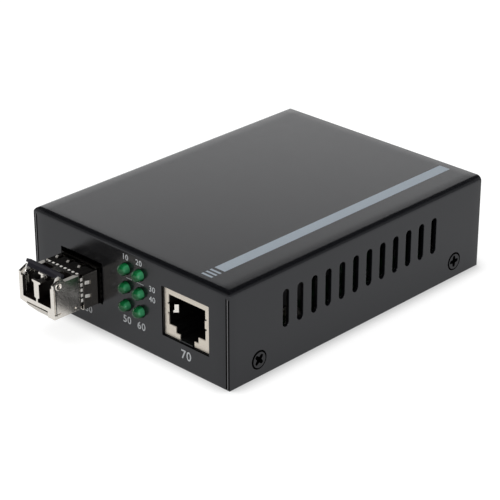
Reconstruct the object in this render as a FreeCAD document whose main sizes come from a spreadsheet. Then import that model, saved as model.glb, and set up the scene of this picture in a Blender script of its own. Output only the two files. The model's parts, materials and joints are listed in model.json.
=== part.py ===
"""Fibre media converter: a folded steel case, its board, a copper socket and a pluggable fibre module.

Millimetres. The origin is the middle of the case's footprint on the surface it stands on:
+X runs to the right along the front, +Y to the back and +Z up.
"""
import FreeCAD, Part
import os
import re
import Sketcher
from FreeCAD import Rotation, Vector

# Driving dimensions. Each is a cell of the spreadsheet with this name as its alias.
SIZES = {
    # Case: two folded sheets
    "case_width": 71.0,
    "case_depth": 96.0,
    "case_height": 26.5,
    "cover_sheet": 1.0,
    "tray_sheet": 1.0,
    "bend_inside": 0.5,
    "sheet_gap": 0.15,
    "corner_seam": 0.15,
    "tray_flange_height": 9.0,
    "tray_flange_setback": 2.2,
    "bend_relief": 0.6,
    "vent_count": 12,
    "vent_pitch": 5.16,
    "vent_width": 2.25,
    "vent_length": 10.35,
    "vent_middle": 15.4,
    # Case screws
    "screw_inset": 10.25,
    "screw_level": 4.7,
    "screw_head_radius": 2.5,
    "screw_radius": 1.5,
    "screw_length": 3.2,
    "screw_gap": 0.05,
    "cross_length": 2.9,
    "cross_width": 0.6,
    "cross_depth": 0.7,
    # Board and its posts
    "standoff_height": 4.9,
    "standoff_radius": 2.6,
    "board_thickness": 1.6,
    "board_side_gap": 0.2,
    "board_end_gap": 0.6,
    "post_inset": 3.1,
    "post_behind_socket": 6.9,
    "post_before_rear": 9.4,
    "board_screw_head_radius": 2.7,
    "board_screw_head_height": 1.8,
    "board_screw_rim_height": 1.08,
    "board_screw_flat_radius": 2.025,
    "board_screw_length": 5.6,
    # Copper socket
    "socket_inset": 14.95,
    "socket_width": 15.7,
    "socket_height": 12.8,
    "socket_depth": 21.3,
    "socket_setback": 0.5,
    "socket_panel_gap": 0.15,
    "socket_skirt": 0.25,
    "shield_wall": 0.15,
    "shield_face": 0.3,
    "window_width": 12.7,
    "window_low": 2.9,
    "window_high": 11.2,
    "latch_step_width": 7.8,
    "latch_step_low": 1.25,
    "latch_slot_width": 5.0,
    "plug_depth": 14.5,
    "moulding_gap": 0.05,
    "moulding_floor": 0.3,
    "contact_count": 8,
    "contact_pitch": 1.02,
    "contact_width": 0.45,
    "contact_thickness": 0.35,
    "contact_start": 3.0,
    "contact_run": 9.0,
    "contact_drop": 2.8,
    "side_spring_low": 6.2,
    "side_spring_height": 2.2,
    "side_spring_sheet": 0.2,
    "side_spring_straight": 2.3,
    "side_spring_length": 4.1,
    "side_spring_rise": 0.5,
    "spring_notch_height": 0.5,
    "spring_notch_depth": 0.4,
    # Lamps
    "lamp_left": -0.7,
    "lamp_pitch": 5.08,
    "lamp_low": 2.9,
    "lamp_radius": 1.5,
    "lamp_proud": 2.4,
    "lamp_hole_gap": 0.15,
    "lamp_collar_radius": 1.9,
    "lamp_collar_length": 0.8,
    "lamp_socket_depth": 2.0,
    "lamp_holder_gap": 1.0,
    "lamp_holder_width": 4.6,
    "lamp_holder_depth": 6.5,
    "lead_size": 0.5,
    "lead_pitch": 2.54,
    "lead_step": 1.2,
    # Fibre module cage
    "cage_inset": 18.15,
    "cage_width": 14.0,
    "cage_height": 9.9,
    "cage_length": 48.7,
    "cage_proud": 5.7,
    "cage_sheet": 0.25,
    "cage_edge": 0.45,
    "cutout_width": 15.5,
    "cutout_height": 11.5,
    "cutout_below": 0.2,
    "side_hole_length": 1.8,
    "side_hole_height": 1.2,
    "side_hole_first": 3.4,
    "side_hole_pitch": 3.8,
    "side_hole_inset": 1.5,
    "top_hole_count": 3,
    "top_hole_pitch": 3.8,
    "top_hole_shift": 1.2,
    "top_hole_width": 1.0,
    "top_hole_length": 2.3,
    "top_hole_inset": 3.05,
    "tongue_width": 6.4,
    "tongue_length": 5.4,
    "tongue_slit": 0.4,
    "latch_hole_inset": 3.15,
    "latch_hole_length": 1.9,
    "latch_hole_width": 3.0,
    "collar_sheet": 0.2,
    "collar_front": 0.3,
    "collar_length": 4.5,
    "finger_width": 1.0,
    "finger_pitch": 1.5,
    "finger_length": 2.6,
    "finger_rise": 0.5,
    "top_finger_count": 8,
    "side_finger_count": 5,
    # Card-edge socket
    "host_width": 12.0,
    "host_depth": 7.0,
    "host_height": 6.2,
    "host_rear_gap": 0.3,
    "host_slot_level": 4.3,
    "host_slot_depth": 5.5,
    "edge_gap": 0.1,
    "tail_count": 10,
    "tail_pitch": 0.8,
    "tail_width": 0.4,
    "tail_length": 0.6,
    "tail_thickness": 0.3,
    # Fibre module
    "module_side_gap": 0.1,
    "module_height_gap": 0.3,
    "module_sheet": 0.3,
    "nose_front": 15.1,
    "nose_length": 8.5,
    "nose_height": 10.0,
    "fin_height": 11.12,
    "fin_rear": 3.8,
    "fin_crest": 0.4,
    "fin_thickness": 0.8,
    "fin_slope_run": 2.4,
    "corner_rise": 1.5,
    "corner_run": 8.5,
    "ring_radius": 1.15,
    "ring_hole": 0.62,
    "ring_rise": 0.15,
    "ring_depth": 0.4,
    "lower_ring_radius": 0.8,
    "lower_ring_hole": 0.36,
    "frame_depth": 0.4,
    "groove_setback": 0.12,
    "groove_size": 0.28,
    "groove_height": 1.65,
    "groove_back": 2.0,
    "port_pitch": 6.25,
    "port_wall": 1.3,
    "port_floor": 3.4,
    "port_neck": 4.5,
    "port_shoulder": 8.7,
    "post_height": 9.3,
    "post_foot": 0.6,
    "post_body": 1.85,
    "post_head": 3.2,
    "port_bevel": 0.2,
    "port_depth": 7.6,
    "port_axis": 5.7,
    "upright_height": 9.0,
    "bridge_front": 2.2,
    "bridge_depth": 0.5,
    "bridge_low": 10.0,
    "bridge_high": 10.5,
    "bridge_width": 3.8,
    "bridge_stem": 1.3,
    "tray_floor": 0.8,
    "tray_wall": 0.8,
    "module_end_gap": 0.75,
    "module_board_thickness": 1.0,
    "module_board_gap": 1.0,
    "card_edge_width": 11.3,
    "module_collar_length": 1.9,
    "module_collar_rise": 0.3,
    "module_collar_gap": 0.1,
    # Optical barrels
    "barrel_radius": 1.45,
    "barrel_reach": 3.1,
    "barrel_gap": 0.1,
    "ferrule_radius": 0.64,
    "ferrule_depth": 3.0,
    "can_radius": 2.3,
    "can_length": 5.6,
    # Release handle and latch
    "pivot_back": 1.7,
    "pivot_height": 9.4,
    "axle_radius": 0.4,
    "axle_gap": 0.04,
    "hub_radius": 0.8,
    "cam_reach": 1.2,
    "cam_radius": 0.5,
    "arm_thickness": 0.42,
    "arm_root": 0.7,
    "arm_foot": 0.2,
    "heel_height": 1.75,
    "crest_back": 1.6,
    "crest_height": 2.95,
    "tip_back": 2.1,
    "tip_height": 2.3,
    "lap_back": 0.65,
    "lap_height": 1.45,
    "grip_start": 0.75,
    "grip_rise": 0.4,
    "grip_low": 2.25,
    "grip_high": 3.0,
    "grip_end": 2.05,
    "grip_end_height": 2.5,
    "grip_root": 1.7,
    "handle_side_gap": 0.05,
    "leg_thickness": 0.38,
    "leg_depth": 1.0,
    "leg_slot_depth": 2.3,
    "leg_gap": 0.05,
    "lever_pivot": 6.8,
    "lever_height": 1.5,
    "lever_pin_radius": 0.45,
    "lever_pin_width": 6.4,
    "lever_sheet": 0.6,
    "lever_beam_width": 4.0,
    "lever_lip_width": 7.8,
    "lever_lip_height": 1.0,
    "lever_room": 2.2,
    "boss_width": 2.5,
    "boss_length": 1.4,
    "boss_through": 0.05,
    "beam_end_gap": 0.4,
    # Components on the board
    "crystal_width": 11.0,
    "crystal_depth": 4.1,
    "crystal_height": 3.5,
    "crystal_corner": 1.6,
    "inductor_size": 7.0,
    "inductor_height": 4.0,
    "fuse_width": 4.0,
    "fuse_depth": 2.5,
    "fuse_height": 2.0,
    "can_groove_depth": 0.3,
    "can_groove_level": 1.4,
    "module_chip_size": 5.0,
    "module_chip_height": 1.2,
    "small_part_width": 1.0,
    "small_part_depth": 2.0,
    "small_part_height": 0.6,
    "small_part_pitch": 2.2,
    "chip_leg_width": 0.4,
    "chip_leg_reach": 0.9,
    "chip_leg_thickness": 0.3,
    "chip_leg_inset": 0.7,
    # Power jack
    "jack_inset": 15.5,
    "jack_width": 9.0,
    "jack_height": 11.0,
    "jack_depth": 14.2,
    "jack_flange": 3.4,
    "jack_level": 6.5,
    "jack_bore": 3.15,
    "jack_bore_depth": 10.0,
    "jack_barrel": 4.1,
    "jack_foot_half": 3.28,
    "jack_pin_radius": 1.0,
    "jack_pin_setback": 0.9,
    "jack_panel_hole": 4.0,
    "jack_panel_gap": 0.05,
    "jack_spring_width": 2.4,
    "jack_spring_sheet": 0.3,
}

doc = FreeCAD.newDocument("fibre_media_converter")
sheet = doc.addObject("Spreadsheet::Sheet", "Sizes")
for row, (alias, size) in enumerate(SIZES.items(), 1):
    sheet.set("A%d" % row, alias)
    sheet.set("B%d" % row, str(size))
    sheet.setAlias("B%d" % row, alias)
doc.recompute()

WORD = re.compile(r"[a-z][a-z_]*")
PLANES = {"across": "YZ_Plane", "along": "XZ_Plane", "flat": "XY_Plane"}
AXES = {"x": "X_Axis", "y": "Y_Axis", "z": "Z_Axis"}
HALF_TURN = 3.141592653589793

# Places that several pieces share, each worked out from the sizes
PLACES = {
    "front_face": "-case_depth/2",
    "panel_back": "front_face + cover_sheet",
    "rear_inside": "case_depth/2 - tray_sheet",
    "cover_bend": "cover_sheet + bend_inside",
    "tray_bend": "tray_sheet + bend_inside",
    "tray_half": "case_width/2 - cover_sheet - sheet_gap",
    "board_under": "tray_sheet + standoff_height",
    "board_top": "board_under + board_thickness",
    "board_half": "case_width/2 - max(screw_length; cover_sheet + sheet_gap + tray_sheet) - board_side_gap",
    "board_front": "panel_back + board_end_gap",
    "board_rear": "rear_inside - board_end_gap",
    "post_side": "board_half - post_inset",
    "post_front": "socket_rear + post_behind_socket",
    "post_rear": "board_rear - post_before_rear",
    "socket_middle": "case_width/2 - socket_inset",
    "socket_front": "front_face + socket_setback",
    "socket_rear": "socket_front + socket_depth",
    "socket_top": "board_top + socket_height",
    "socket_skirt_low": "board_top - socket_skirt",
    "moulding_front": "socket_front + shield_face + moulding_gap",
    "socket_roof": "board_top + window_high",
    "lamp_right": "lamp_left + lamp_pitch",
    "lamp_bottom": "board_top + lamp_low",
    "lamp_middle": "lamp_bottom + lamp_pitch",
    "lamp_top": "lamp_bottom + 2*lamp_pitch",
    "holder_front": "panel_back + lamp_holder_gap",
    "holder_rear": "holder_front + lamp_holder_depth",
    "cage_middle": "cage_inset - case_width/2",
    "cage_front": "front_face - cage_proud",
    "cage_rear": "cage_front + cage_length",
    "cage_top": "board_top + cage_height",
    "latch_hole": "cage_front + latch_hole_inset",
    "slot_level": "board_top + host_slot_level",
    "host_rear": "cage_rear - cage_sheet - host_rear_gap - tail_length",
    "host_front": "host_rear - host_depth",
    "module_half": "cage_width/2 - cage_sheet - module_side_gap",
    "module_low": "board_top + cage_sheet + module_height_gap",
    "module_top": "cage_top - cage_sheet - module_height_gap",
    "module_tray_half": "module_half - module_sheet",
    "module_tray_back": "host_front - tail_length - module_end_gap",
    "module_floor": "module_low + tray_floor",
    "module_roof": "module_top - module_sheet",
    "nose_face": "front_face - nose_front",
    "nose_rear": "nose_face + nose_length",
    "nose_roof": "board_top + nose_height",
    "fin_crown": "board_top + fin_height",
    "fin_back": "nose_face + fin_rear",
    "frame_back": "nose_face + frame_depth",
    "groove_level": "board_top + groove_height",
    "groove_front": "nose_face + groove_setback",
    "port_side": "module_half - port_wall",
    "port_sill": "board_top + port_floor",
    "port_waist": "board_top + port_neck",
    "port_brow": "board_top + port_shoulder",
    "port_centre": "board_top + port_axis",
    "post_crown": "board_top + post_height",
    "upright_crown": "board_top + upright_height",
    "bridge_face": "nose_face + bridge_front",
    "bridge_under": "board_top + bridge_low",
    "bridge_crown": "board_top + bridge_high",
    "well_side": "module_half - fin_thickness",
    "leg_slot_back": "frame_back + leg_slot_depth",
    "pivot_place": "nose_face + pivot_back",
    "pivot_level": "board_top + pivot_height",
    "lever_place": "nose_face + lever_pivot",
    "lever_level": "board_top + lever_height",
    "lever_ceiling": "board_top + lever_room",
    "jack_middle": "case_width/2 - jack_inset",
    "jack_face": "rear_inside - jack_panel_gap",
    "jack_axis": "board_top + jack_level",
}


def bound(text):
    """The same formula with every place worked out and every size read from the spreadsheet."""

    def swap(found):
        word = found.group()
        if word in PLACES:
            return "(" + bound(PLACES[word]) + ")"
        return "Sizes." + word if word in SIZES else word

    return WORD.sub(swap, str(text))


def number(text):
    return float(sheet.evalExpression(bound(text)))


def tie(item, field, text):
    item.setExpression(field, bound(text))


def new_body(label):
    body = doc.addObject("PartDesign::Body", label)
    body.Label = label
    return body


def origin_item(body, role):
    return next(item for item in body.Origin.OriginFeatures if item.Role == role)


def new_sketch(body, plane, level="0"):
    """A sketch on one of the body's own origin planes, level above it along the plane's normal.

    "across" is drawn in Y and Z and faces +X, "along" in X and Z and faces -Y,
    "flat" in X and Y and faces +Z.
    """
    drawing = body.newObject("Sketcher::SketchObject", body.Label + "_outline")
    drawing.AttachmentSupport = [(origin_item(body, PLANES[plane]), "")]
    drawing.MapMode = "FlatFace"
    tie(drawing, "AttachmentOffset.Base.z", level)
    return drawing


def fix_point(drawing, line, end, place):
    for kind, text in zip(("DistanceX", "DistanceY"), place):
        index = drawing.addConstraint(Sketcher.Constraint(kind, -1, 1, line, end, number(text)))
        tie(drawing, f"Constraints[{index}]", text)


def polygon(drawing, corners):
    first = drawing.GeometryCount
    count = len(corners)
    spots = [Vector(number(across), number(up), 0) for across, up in corners]
    for index in range(count):
        drawing.addGeometry(Part.LineSegment(spots[index], spots[(index + 1) % count]), False)
    for index in range(count):
        after = first + (index + 1) % count
        drawing.addConstraint(Sketcher.Constraint("Coincident", first + index, 2, after, 1))
    for index, corner in enumerate(corners):
        fix_point(drawing, first + index, 1, corner)


def rectangle(drawing, left, right, low, high):
    polygon(drawing, [(left, low), (right, low), (right, high), (left, high)])


def disc(drawing, across, up, radius):
    spot = Vector(number(across), number(up), 0)
    line = drawing.addGeometry(Part.Circle(spot, Vector(0, 0, 1), number(radius)), False)
    fix_point(drawing, line, 3, (across, up))
    index = drawing.addConstraint(Sketcher.Constraint("Radius", line, number(radius)))
    tie(drawing, f"Constraints[{index}]", radius)


def upright_slot(drawing, across, up, width, length):
    """A slot with round ends, standing on end about its middle."""
    radius = number(width) / 2
    reach = number(length) / 2 - radius
    middle = Vector(number(across), number(up), 0)
    top = middle + Vector(0, reach, 0)
    low = middle - Vector(0, reach, 0)
    side = Vector(radius, 0, 0)
    axis = Vector(0, 0, 1)
    first = drawing.GeometryCount
    drawing.addGeometry(Part.ArcOfCircle(Part.Circle(top, axis, radius), 0, HALF_TURN), False)
    drawing.addGeometry(Part.LineSegment(top - side, low - side), False)
    drawing.addGeometry(Part.ArcOfCircle(Part.Circle(low, axis, radius), HALF_TURN, 2 * HALF_TURN), False)
    drawing.addGeometry(Part.LineSegment(low + side, top + side), False)
    for index in range(4):
        after = first + (index + 1) % 4
        drawing.addConstraint(Sketcher.Constraint("Tangent", first + index, 2, after, 1))
    fix_point(drawing, first, 3, (across, f"{up} + ({length} - {width})/2"))
    fix_point(drawing, first + 2, 3, (across, f"{up} - ({length} - {width})/2"))
    index = drawing.addConstraint(Sketcher.Constraint("Radius", first, radius))
    tie(drawing, f"Constraints[{index}]", f"{width}/2")


def pad(body, drawing, length, both_ways=False, backwards=False):
    feature = body.newObject("PartDesign::Pad", body.Label + "_pad")
    feature.Profile = drawing
    feature.Midplane = both_ways
    feature.Reversed = backwards
    tie(feature, "Length", length)
    doc.recompute()
    return feature


def pocket(body, drawing, length=None, backwards=False):
    """Cuts against the sketch's normal, or with it when backwards, by length or through everything."""
    before = body.Shape.Volume
    feature = body.newObject("PartDesign::Pocket", body.Label + "_pocket")
    feature.Profile = drawing
    feature.Reversed = backwards
    if length is None:
        feature.Type = "ThroughAll"
    else:
        tie(feature, "Length", length)
    doc.recompute()
    if body.Shape.Volume >= before:
        raise RuntimeError(feature.Label + " cuts nothing")
    return feature


def repeat(body, feature, axis, pitch, count):
    """Copies a feature along an axis of its body, count times in all."""
    row = body.newObject("PartDesign::LinearPattern", body.Label + "_row")
    row.Originals = [feature]
    row.Direction = (origin_item(body, AXES[axis]), [""])
    tie(row, "Length", f"({count} - 1)*{pitch}")
    tie(row, "Occurrences", count)
    body.Tip = row
    doc.recompute()
    return row


def edge_names(shape, test):
    return [f"Edge{index}" for index, edge in enumerate(shape.Edges, 1) if test(edge.BoundBox)]


def round_edges(body, radius, test):
    base = body.Tip
    feature = body.newObject("PartDesign::Fillet", body.Label + "_round")
    feature.Base = (base, edge_names(base.Shape, test))
    tie(feature, "Radius", radius)
    doc.recompute()
    return feature


def hollow(body, wall, test):
    """Turns the solid into a shell of the given wall, open at the faces that pass the test."""
    base = body.Tip
    faces = [f"Face{index}" for index, face in enumerate(base.Shape.Faces, 1) if test(face.BoundBox)]
    feature = body.newObject("PartDesign::Thickness", body.Label + "_shell")
    feature.Base = (base, faces)
    feature.Reversed = True
    feature.Mode = 0
    feature.Join = 0
    tie(feature, "Value", wall)
    doc.recompute()
    return feature


def near(one, other):
    return abs(one - other) < 1e-4


def at(low, high, place):
    """True where a box's span is one flat place."""
    return near(low, place) and near(high, place)


def turned(label, profile):
    """A body turned about +Z from half of its outline, given as distances from the axis and heights."""
    body = new_body(label)
    half = new_sketch(body, "along")
    polygon(half, profile)
    feature = body.newObject("PartDesign::Revolution", label + "_turned")
    feature.Profile = half
    feature.ReferenceAxis = (origin_item(body, "Z_Axis"), [""])
    doc.recompute()
    return body


def block(label, left, right, front, back, low, high):
    item = doc.addObject("Part::Box", label)
    item.Label = label
    tie(item, "Length", f"({right}) - ({left})")
    tie(item, "Width", f"({back}) - ({front})")
    tie(item, "Height", f"({high}) - ({low})")
    tie(item, ".Placement.Base.x", left)
    tie(item, ".Placement.Base.y", front)
    tie(item, ".Placement.Base.z", low)
    return item


TURNS = {
    "x": Rotation(Vector(0, 1, 0), 90),
    "y": Rotation(Vector(1, 0, 0), -90),
    "z": Rotation(),
}


def rod(label, axis, start, radius, length):
    """A cylinder that runs from start along +X, +Y or +Z."""
    item = doc.addObject("Part::Cylinder", label)
    item.Label = label
    item.Placement.Rotation = TURNS[axis]
    tie(item, "Radius", radius)
    tie(item, "Height", length)
    for name, text in zip("xyz", start):
        tie(item, f".Placement.Base.{name}", text)
    return item


def ball(label, middle, radius):
    item = doc.addObject("Part::Sphere", label)
    item.Label = label
    tie(item, "Radius", radius)
    for name, text in zip("xyz", middle):
        tie(item, f".Placement.Base.{name}", text)
    return item


def fused(label, pieces):
    item = doc.addObject("Part::MultiFuse", label)
    item.Label = label
    item.Shapes = pieces
    return item


def cut(label, base, tools):
    item = doc.addObject("Part::Cut", label)
    item.Label = label
    item.Base = base
    item.Tool = tools[0] if len(tools) == 1 else fused(label + "_tools", tools)
    return item


def group(label, pieces):
    item = doc.addObject("Part::Compound", label)
    item.Label = label
    item.Links = pieces
    return item


def placed_copies(label, master, placements):
    """Equal solids in one group: copies of a master body at several placements."""
    doc.recompute()
    copies = []
    for placement in placements:
        solid = master.Shape.copy()
        solid.Placement = placement
        copies.append(solid)
    item = doc.addObject("Part::Feature", label)
    item.Shape = Part.makeCompound(copies)
    item.Label = label
    return item


def make_top_cover():
    """Top, front and sides folded from one sheet; the front flange stands between the side flanges."""
    body = new_body("top_cover")
    outline = new_sketch(body, "flat")
    rectangle(outline, "-case_width/2", "case_width/2", "front_face", "case_depth/2")
    pad(body, outline, "case_height")
    top = number("case_height")
    rear = number("case_depth/2")
    round_edges(
        body, "cover_bend",
        lambda box: at(box.ZMin, box.ZMax, top) and not at(box.YMin, box.YMax, rear),
    )
    hollow(body, "cover_sheet", lambda box: at(box.ZMin, box.ZMax, 0) or at(box.YMin, box.YMax, rear))
    seams = new_sketch(body, "along", "case_depth/2")
    for side in ("", "-"):
        inner = f"{side}(case_width/2 - cover_sheet - corner_seam)"
        outer = f"{side}(case_width/2 - cover_sheet)"
        rectangle(seams, inner, outer, "-corner_seam", "case_height - cover_bend")
    pocket(body, seams, "cover_sheet")
    openings = new_sketch(body, "along", "case_depth/2")
    gap = "socket_panel_gap"
    rectangle(
        openings,
        f"socket_middle - socket_width/2 - {gap}",
        f"socket_middle + socket_width/2 + {gap}",
        f"socket_skirt_low - {gap}",
        f"socket_top + {gap}",
    )
    rectangle(
        openings,
        "cage_middle - cutout_width/2",
        "cage_middle + cutout_width/2",
        "board_top - cutout_below",
        "board_top - cutout_below + cutout_height",
    )
    for across, up in lamp_places():
        disc(openings, across, up, "lamp_radius + lamp_hole_gap")
    pocket(body, openings, "cover_sheet")
    vents = new_sketch(body, "across", "case_width/2")
    upright_slot(vents, "-(vent_count - 1)*vent_pitch/2", "vent_middle", "vent_width", "vent_length")
    vent = pocket(body, vents)
    repeat(body, vent, "y", "vent_pitch", "vent_count")
    for place in screw_rows():
        sink_screw_hole(body, place)
    return body


def screw_rows():
    return ("-(case_depth/2 - screw_inset)", "case_depth/2 - screw_inset")


def sink_screw_hole(body, place):
    """A countersunk hole through each side flange at one place along the case."""
    head = "screw_head_radius + screw_gap"
    hole = "screw_radius + screw_gap"
    sides = (("case_width/2 - cover_sheet", hole, head), ("-case_width/2", head, hole))
    for start, first, second in sides:
        cone = body.newObject("PartDesign::SubtractiveCone", "countersink")
        cone.AttachmentSupport = [(origin_item(body, "YZ_Plane"), "")]
        cone.MapMode = "FlatFace"
        tie(cone, "Radius1", first)
        tie(cone, "Radius2", second)
        tie(cone, "Height", "cover_sheet")
        tie(cone, "AttachmentOffset.Base.x", place)
        tie(cone, "AttachmentOffset.Base.y", "screw_level")
        tie(cone, "AttachmentOffset.Base.z", start)
        doc.recompute()


def make_base_tray():
    """Floor, rear wall and two short side flanges folded from one sheet."""
    body = new_body("base_tray")
    channel = new_sketch(body, "along", "case_depth/2 - tray_flange_setback")
    inside = "(tray_half - tray_sheet)"
    polygon(channel, [
        ("-tray_half", "0"),
        ("tray_half", "0"),
        ("tray_half", "tray_flange_height"),
        (inside, "tray_flange_height"),
        (inside, "tray_sheet"),
        (f"-{inside}", "tray_sheet"),
        (f"-{inside}", "tray_flange_height"),
        ("-tray_half", "tray_flange_height"),
    ])
    pad(body, channel, "case_depth - 2*tray_flange_setback", backwards=True)
    edge = number("tray_half")
    fold = number(inside)
    floor = number("tray_sheet")

    def outer_fold(box):
        return at(box.ZMin, box.ZMax, 0) and near(abs(box.XMin), edge) and near(box.XMin, box.XMax)

    def inner_fold(box):
        return at(box.ZMin, box.ZMax, floor) and near(abs(box.XMin), fold) and near(box.XMin, box.XMax)

    round_edges(body, "tray_bend", outer_fold)
    round_edges(body, "bend_inside", inner_fold)
    floor_half = "(tray_half - tray_bend - bend_relief)"
    rear = new_sketch(body, "across", f"-{floor_half}")
    front = "panel_back + sheet_gap"
    top = "case_height - cover_sheet - sheet_gap"
    polygon(rear, [
        (front, "0"),
        ("case_depth/2", "0"),
        ("case_depth/2", top),
        ("rear_inside", top),
        ("rear_inside", "tray_sheet"),
        (front, "tray_sheet"),
    ])
    pad(body, rear, f"2*{floor_half}")
    back = number("case_depth/2")
    wall = number("rear_inside")
    round_edges(
        body, "tray_bend",
        lambda box: at(box.YMin, box.YMax, back) and at(box.ZMin, box.ZMax, 0),
    )
    round_edges(
        body, "bend_inside",
        lambda box: at(box.YMin, box.YMax, wall) and at(box.ZMin, box.ZMax, floor),
    )
    wings = new_sketch(body, "along", "-case_depth/2")
    rectangle(wings, "-tray_half", "tray_half", "tray_bend + bend_relief", top)
    pad(body, wings, "tray_sheet")
    holes = new_sketch(body, "across", "case_width/2")
    for place in screw_rows():
        disc(holes, place, "screw_level", "screw_radius + screw_gap")
    pocket(body, holes)
    jack = new_sketch(body, "along", "-case_depth/2")
    disc(jack, "jack_middle", "jack_axis", "jack_panel_hole")
    pocket(body, jack, "tray_sheet", backwards=True)
    return body


def screw_master(label, profile, head, cross_rise):
    """One screw about +Z, with its head's face at the origin and a cross cut into it."""
    body = turned(label, profile)
    cross = new_sketch(body, "flat", cross_rise)
    reach = f"{head}*cross_length/(2*screw_head_radius)"
    arm = "cross_width/2"
    polygon(cross, [
        (f"-{reach}", f"-{arm}"), (f"-{arm}", f"-{arm}"), (f"-{arm}", f"-{reach}"), (arm, f"-{reach}"),
        (arm, f"-{arm}"), (reach, f"-{arm}"), (reach, arm), (arm, arm),
        (arm, reach), (f"-{arm}", reach), (f"-{arm}", arm), (f"-{reach}", arm),
    ])
    pocket(body, cross, "cross_depth")
    return body


def make_cover_screws():
    profile = [
        ("0", "0"), ("screw_head_radius", "0"), ("screw_radius", "-cover_sheet"),
        ("screw_radius", "-screw_length"), ("0", "-screw_length"),
    ]
    master = screw_master("cover_screw_master", profile, "screw_head_radius", "0")
    side = number("case_width/2")
    level = number("screw_level")
    placements = []
    for row, turn in zip(screw_rows(), (45, 0)):
        for sign in (1, -1):
            spin = Rotation(Vector(0, 1, 0), 90 * sign).multiply(Rotation(Vector(0, 0, 1), turn))
            placements.append(FreeCAD.Placement(Vector(side * sign, number(row), level), spin))
    return placed_copies("cover_screws", master, placements)


def board_posts():
    return [(f"{side}post_side", row) for side in ("", "-") for row in ("post_front", "post_rear")]


def make_standoffs():
    posts = []
    for index, (across, along) in enumerate(board_posts(), 1):
        foot = (across, along, "tray_sheet")
        post = rod(f"post_{index}", "z", foot, "standoff_radius", "standoff_height")
        bore = rod(f"post_bore_{index}", "z", foot, "screw_radius + screw_gap", "standoff_height")
        posts.append(cut(f"post_tube_{index}", post, [bore]))
    return group("pcb_standoffs", posts)


def make_board_screws():
    under = "-board_screw_length"
    head = "board_screw_head_height"
    profile = [
        ("0", under), ("screw_radius", under), ("screw_radius", "0"),
        ("board_screw_head_radius", "0"), ("board_screw_head_radius", "board_screw_rim_height"),
        ("board_screw_flat_radius", head), ("0", head),
    ]
    master = screw_master("board_screw_master", profile, "board_screw_flat_radius", head)
    top = number("board_top")
    placements = [
        FreeCAD.Placement(Vector(number(across), number(along), top), Rotation())
        for across, along in board_posts()
    ]
    return placed_copies("pcb_screws", master, placements)


def make_circuit_board():
    body = new_body("circuit_board")
    outline = new_sketch(body, "flat", "board_under")
    rectangle(outline, "-board_half", "board_half", "board_front", "board_rear")
    for across, along in board_posts():
        disc(outline, across, along, "screw_radius + screw_gap")
    pad(body, outline, "board_thickness")
    return body


def socket_outline(drawing, floor):
    """The plug opening: a wide window over a stepped latch slot that runs down to this floor."""
    middle = "socket_middle"
    rows = [
        ("latch_slot_width", floor, "board_top + latch_step_low"),
        ("latch_step_width", "board_top + latch_step_low", "board_top + window_low"),
        ("window_width", "board_top + window_low", "socket_roof"),
    ]
    right = []
    left = []
    for width, low, high in rows:
        right += [(f"{middle} + {width}/2", low), (f"{middle} + {width}/2", high)]
        left += [(f"{middle} - {width}/2", low), (f"{middle} - {width}/2", high)]
    polygon(drawing, right + left[::-1])


def make_socket_shield():
    """The socket's folded metal shell: open below, with a stepped front window and two side springs."""
    body = new_body("rj45_shield")
    outline = new_sketch(body, "along", "-socket_front")
    left = "socket_middle - socket_width/2"
    right = "socket_middle + socket_width/2"
    rectangle(outline, left, right, "board_top", "socket_top")
    pad(body, outline, "socket_depth", backwards=True)
    top = number("socket_top")
    low = number("board_top")
    long = number("socket_depth") / 2
    round_edges(body, "2*shield_wall", lambda box: at(box.ZMin, box.ZMax, top) and box.YLength > long)
    hollow(body, "shield_wall", lambda box: at(box.ZMin, box.ZMax, low))
    face = new_sketch(body, "along", "-socket_front")
    rectangle(face, left, right, "socket_skirt_low", "socket_roof + shield_wall")
    pad(body, face, "shield_face", backwards=True)
    window = new_sketch(body, "along", "-socket_front")
    socket_outline(window, "socket_skirt_low")
    pocket(body, window, "shield_face")
    root = "(board_top + side_spring_low)"
    for sign in ("-", "+"):
        edge = f"(socket_middle {sign} window_width/2)"
        notches = new_sketch(body, "along", "-socket_front")
        for level in (f"{root} - spring_notch_height", f"{root} + side_spring_height"):
            rectangle(
                notches, edge, f"{edge} {sign} spring_notch_depth",
                level, f"{level} + spring_notch_height",
            )
        pocket(body, notches, "shield_face")
    for sign, inward in (("-", "+"), ("+", "-")):
        edge = f"(socket_middle {sign} window_width/2)"
        inside = f"{edge} {inward} side_spring_sheet"
        bend = "socket_front + side_spring_straight"
        end = "socket_front + side_spring_length"
        leaf = new_sketch(body, "flat", root)
        polygon(leaf, [
            (edge, "socket_front"), (inside, "socket_front"), (inside, bend),
            (f"{inside} {inward} side_spring_rise", end), (f"{edge} {inward} side_spring_rise", end),
            (edge, bend),
        ])
        pad(body, leaf, "side_spring_height")
    return body


def make_socket_body():
    """The moulding inside the shell, with the plug's cavity."""
    body = new_body("rj45_body")
    wall = "(shield_wall + moulding_gap)"
    outline = new_sketch(body, "along", "-moulding_front")
    rectangle(
        outline,
        f"socket_middle - socket_width/2 + {wall}",
        f"socket_middle + socket_width/2 - {wall}",
        "board_top",
        f"socket_top - {wall}",
    )
    pad(body, outline, f"socket_rear - {wall} - moulding_front", backwards=True)
    cavity = new_sketch(body, "along", "-moulding_front")
    socket_outline(cavity, "board_top + moulding_floor")
    pocket(body, cavity, "plug_depth")
    return body


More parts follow.
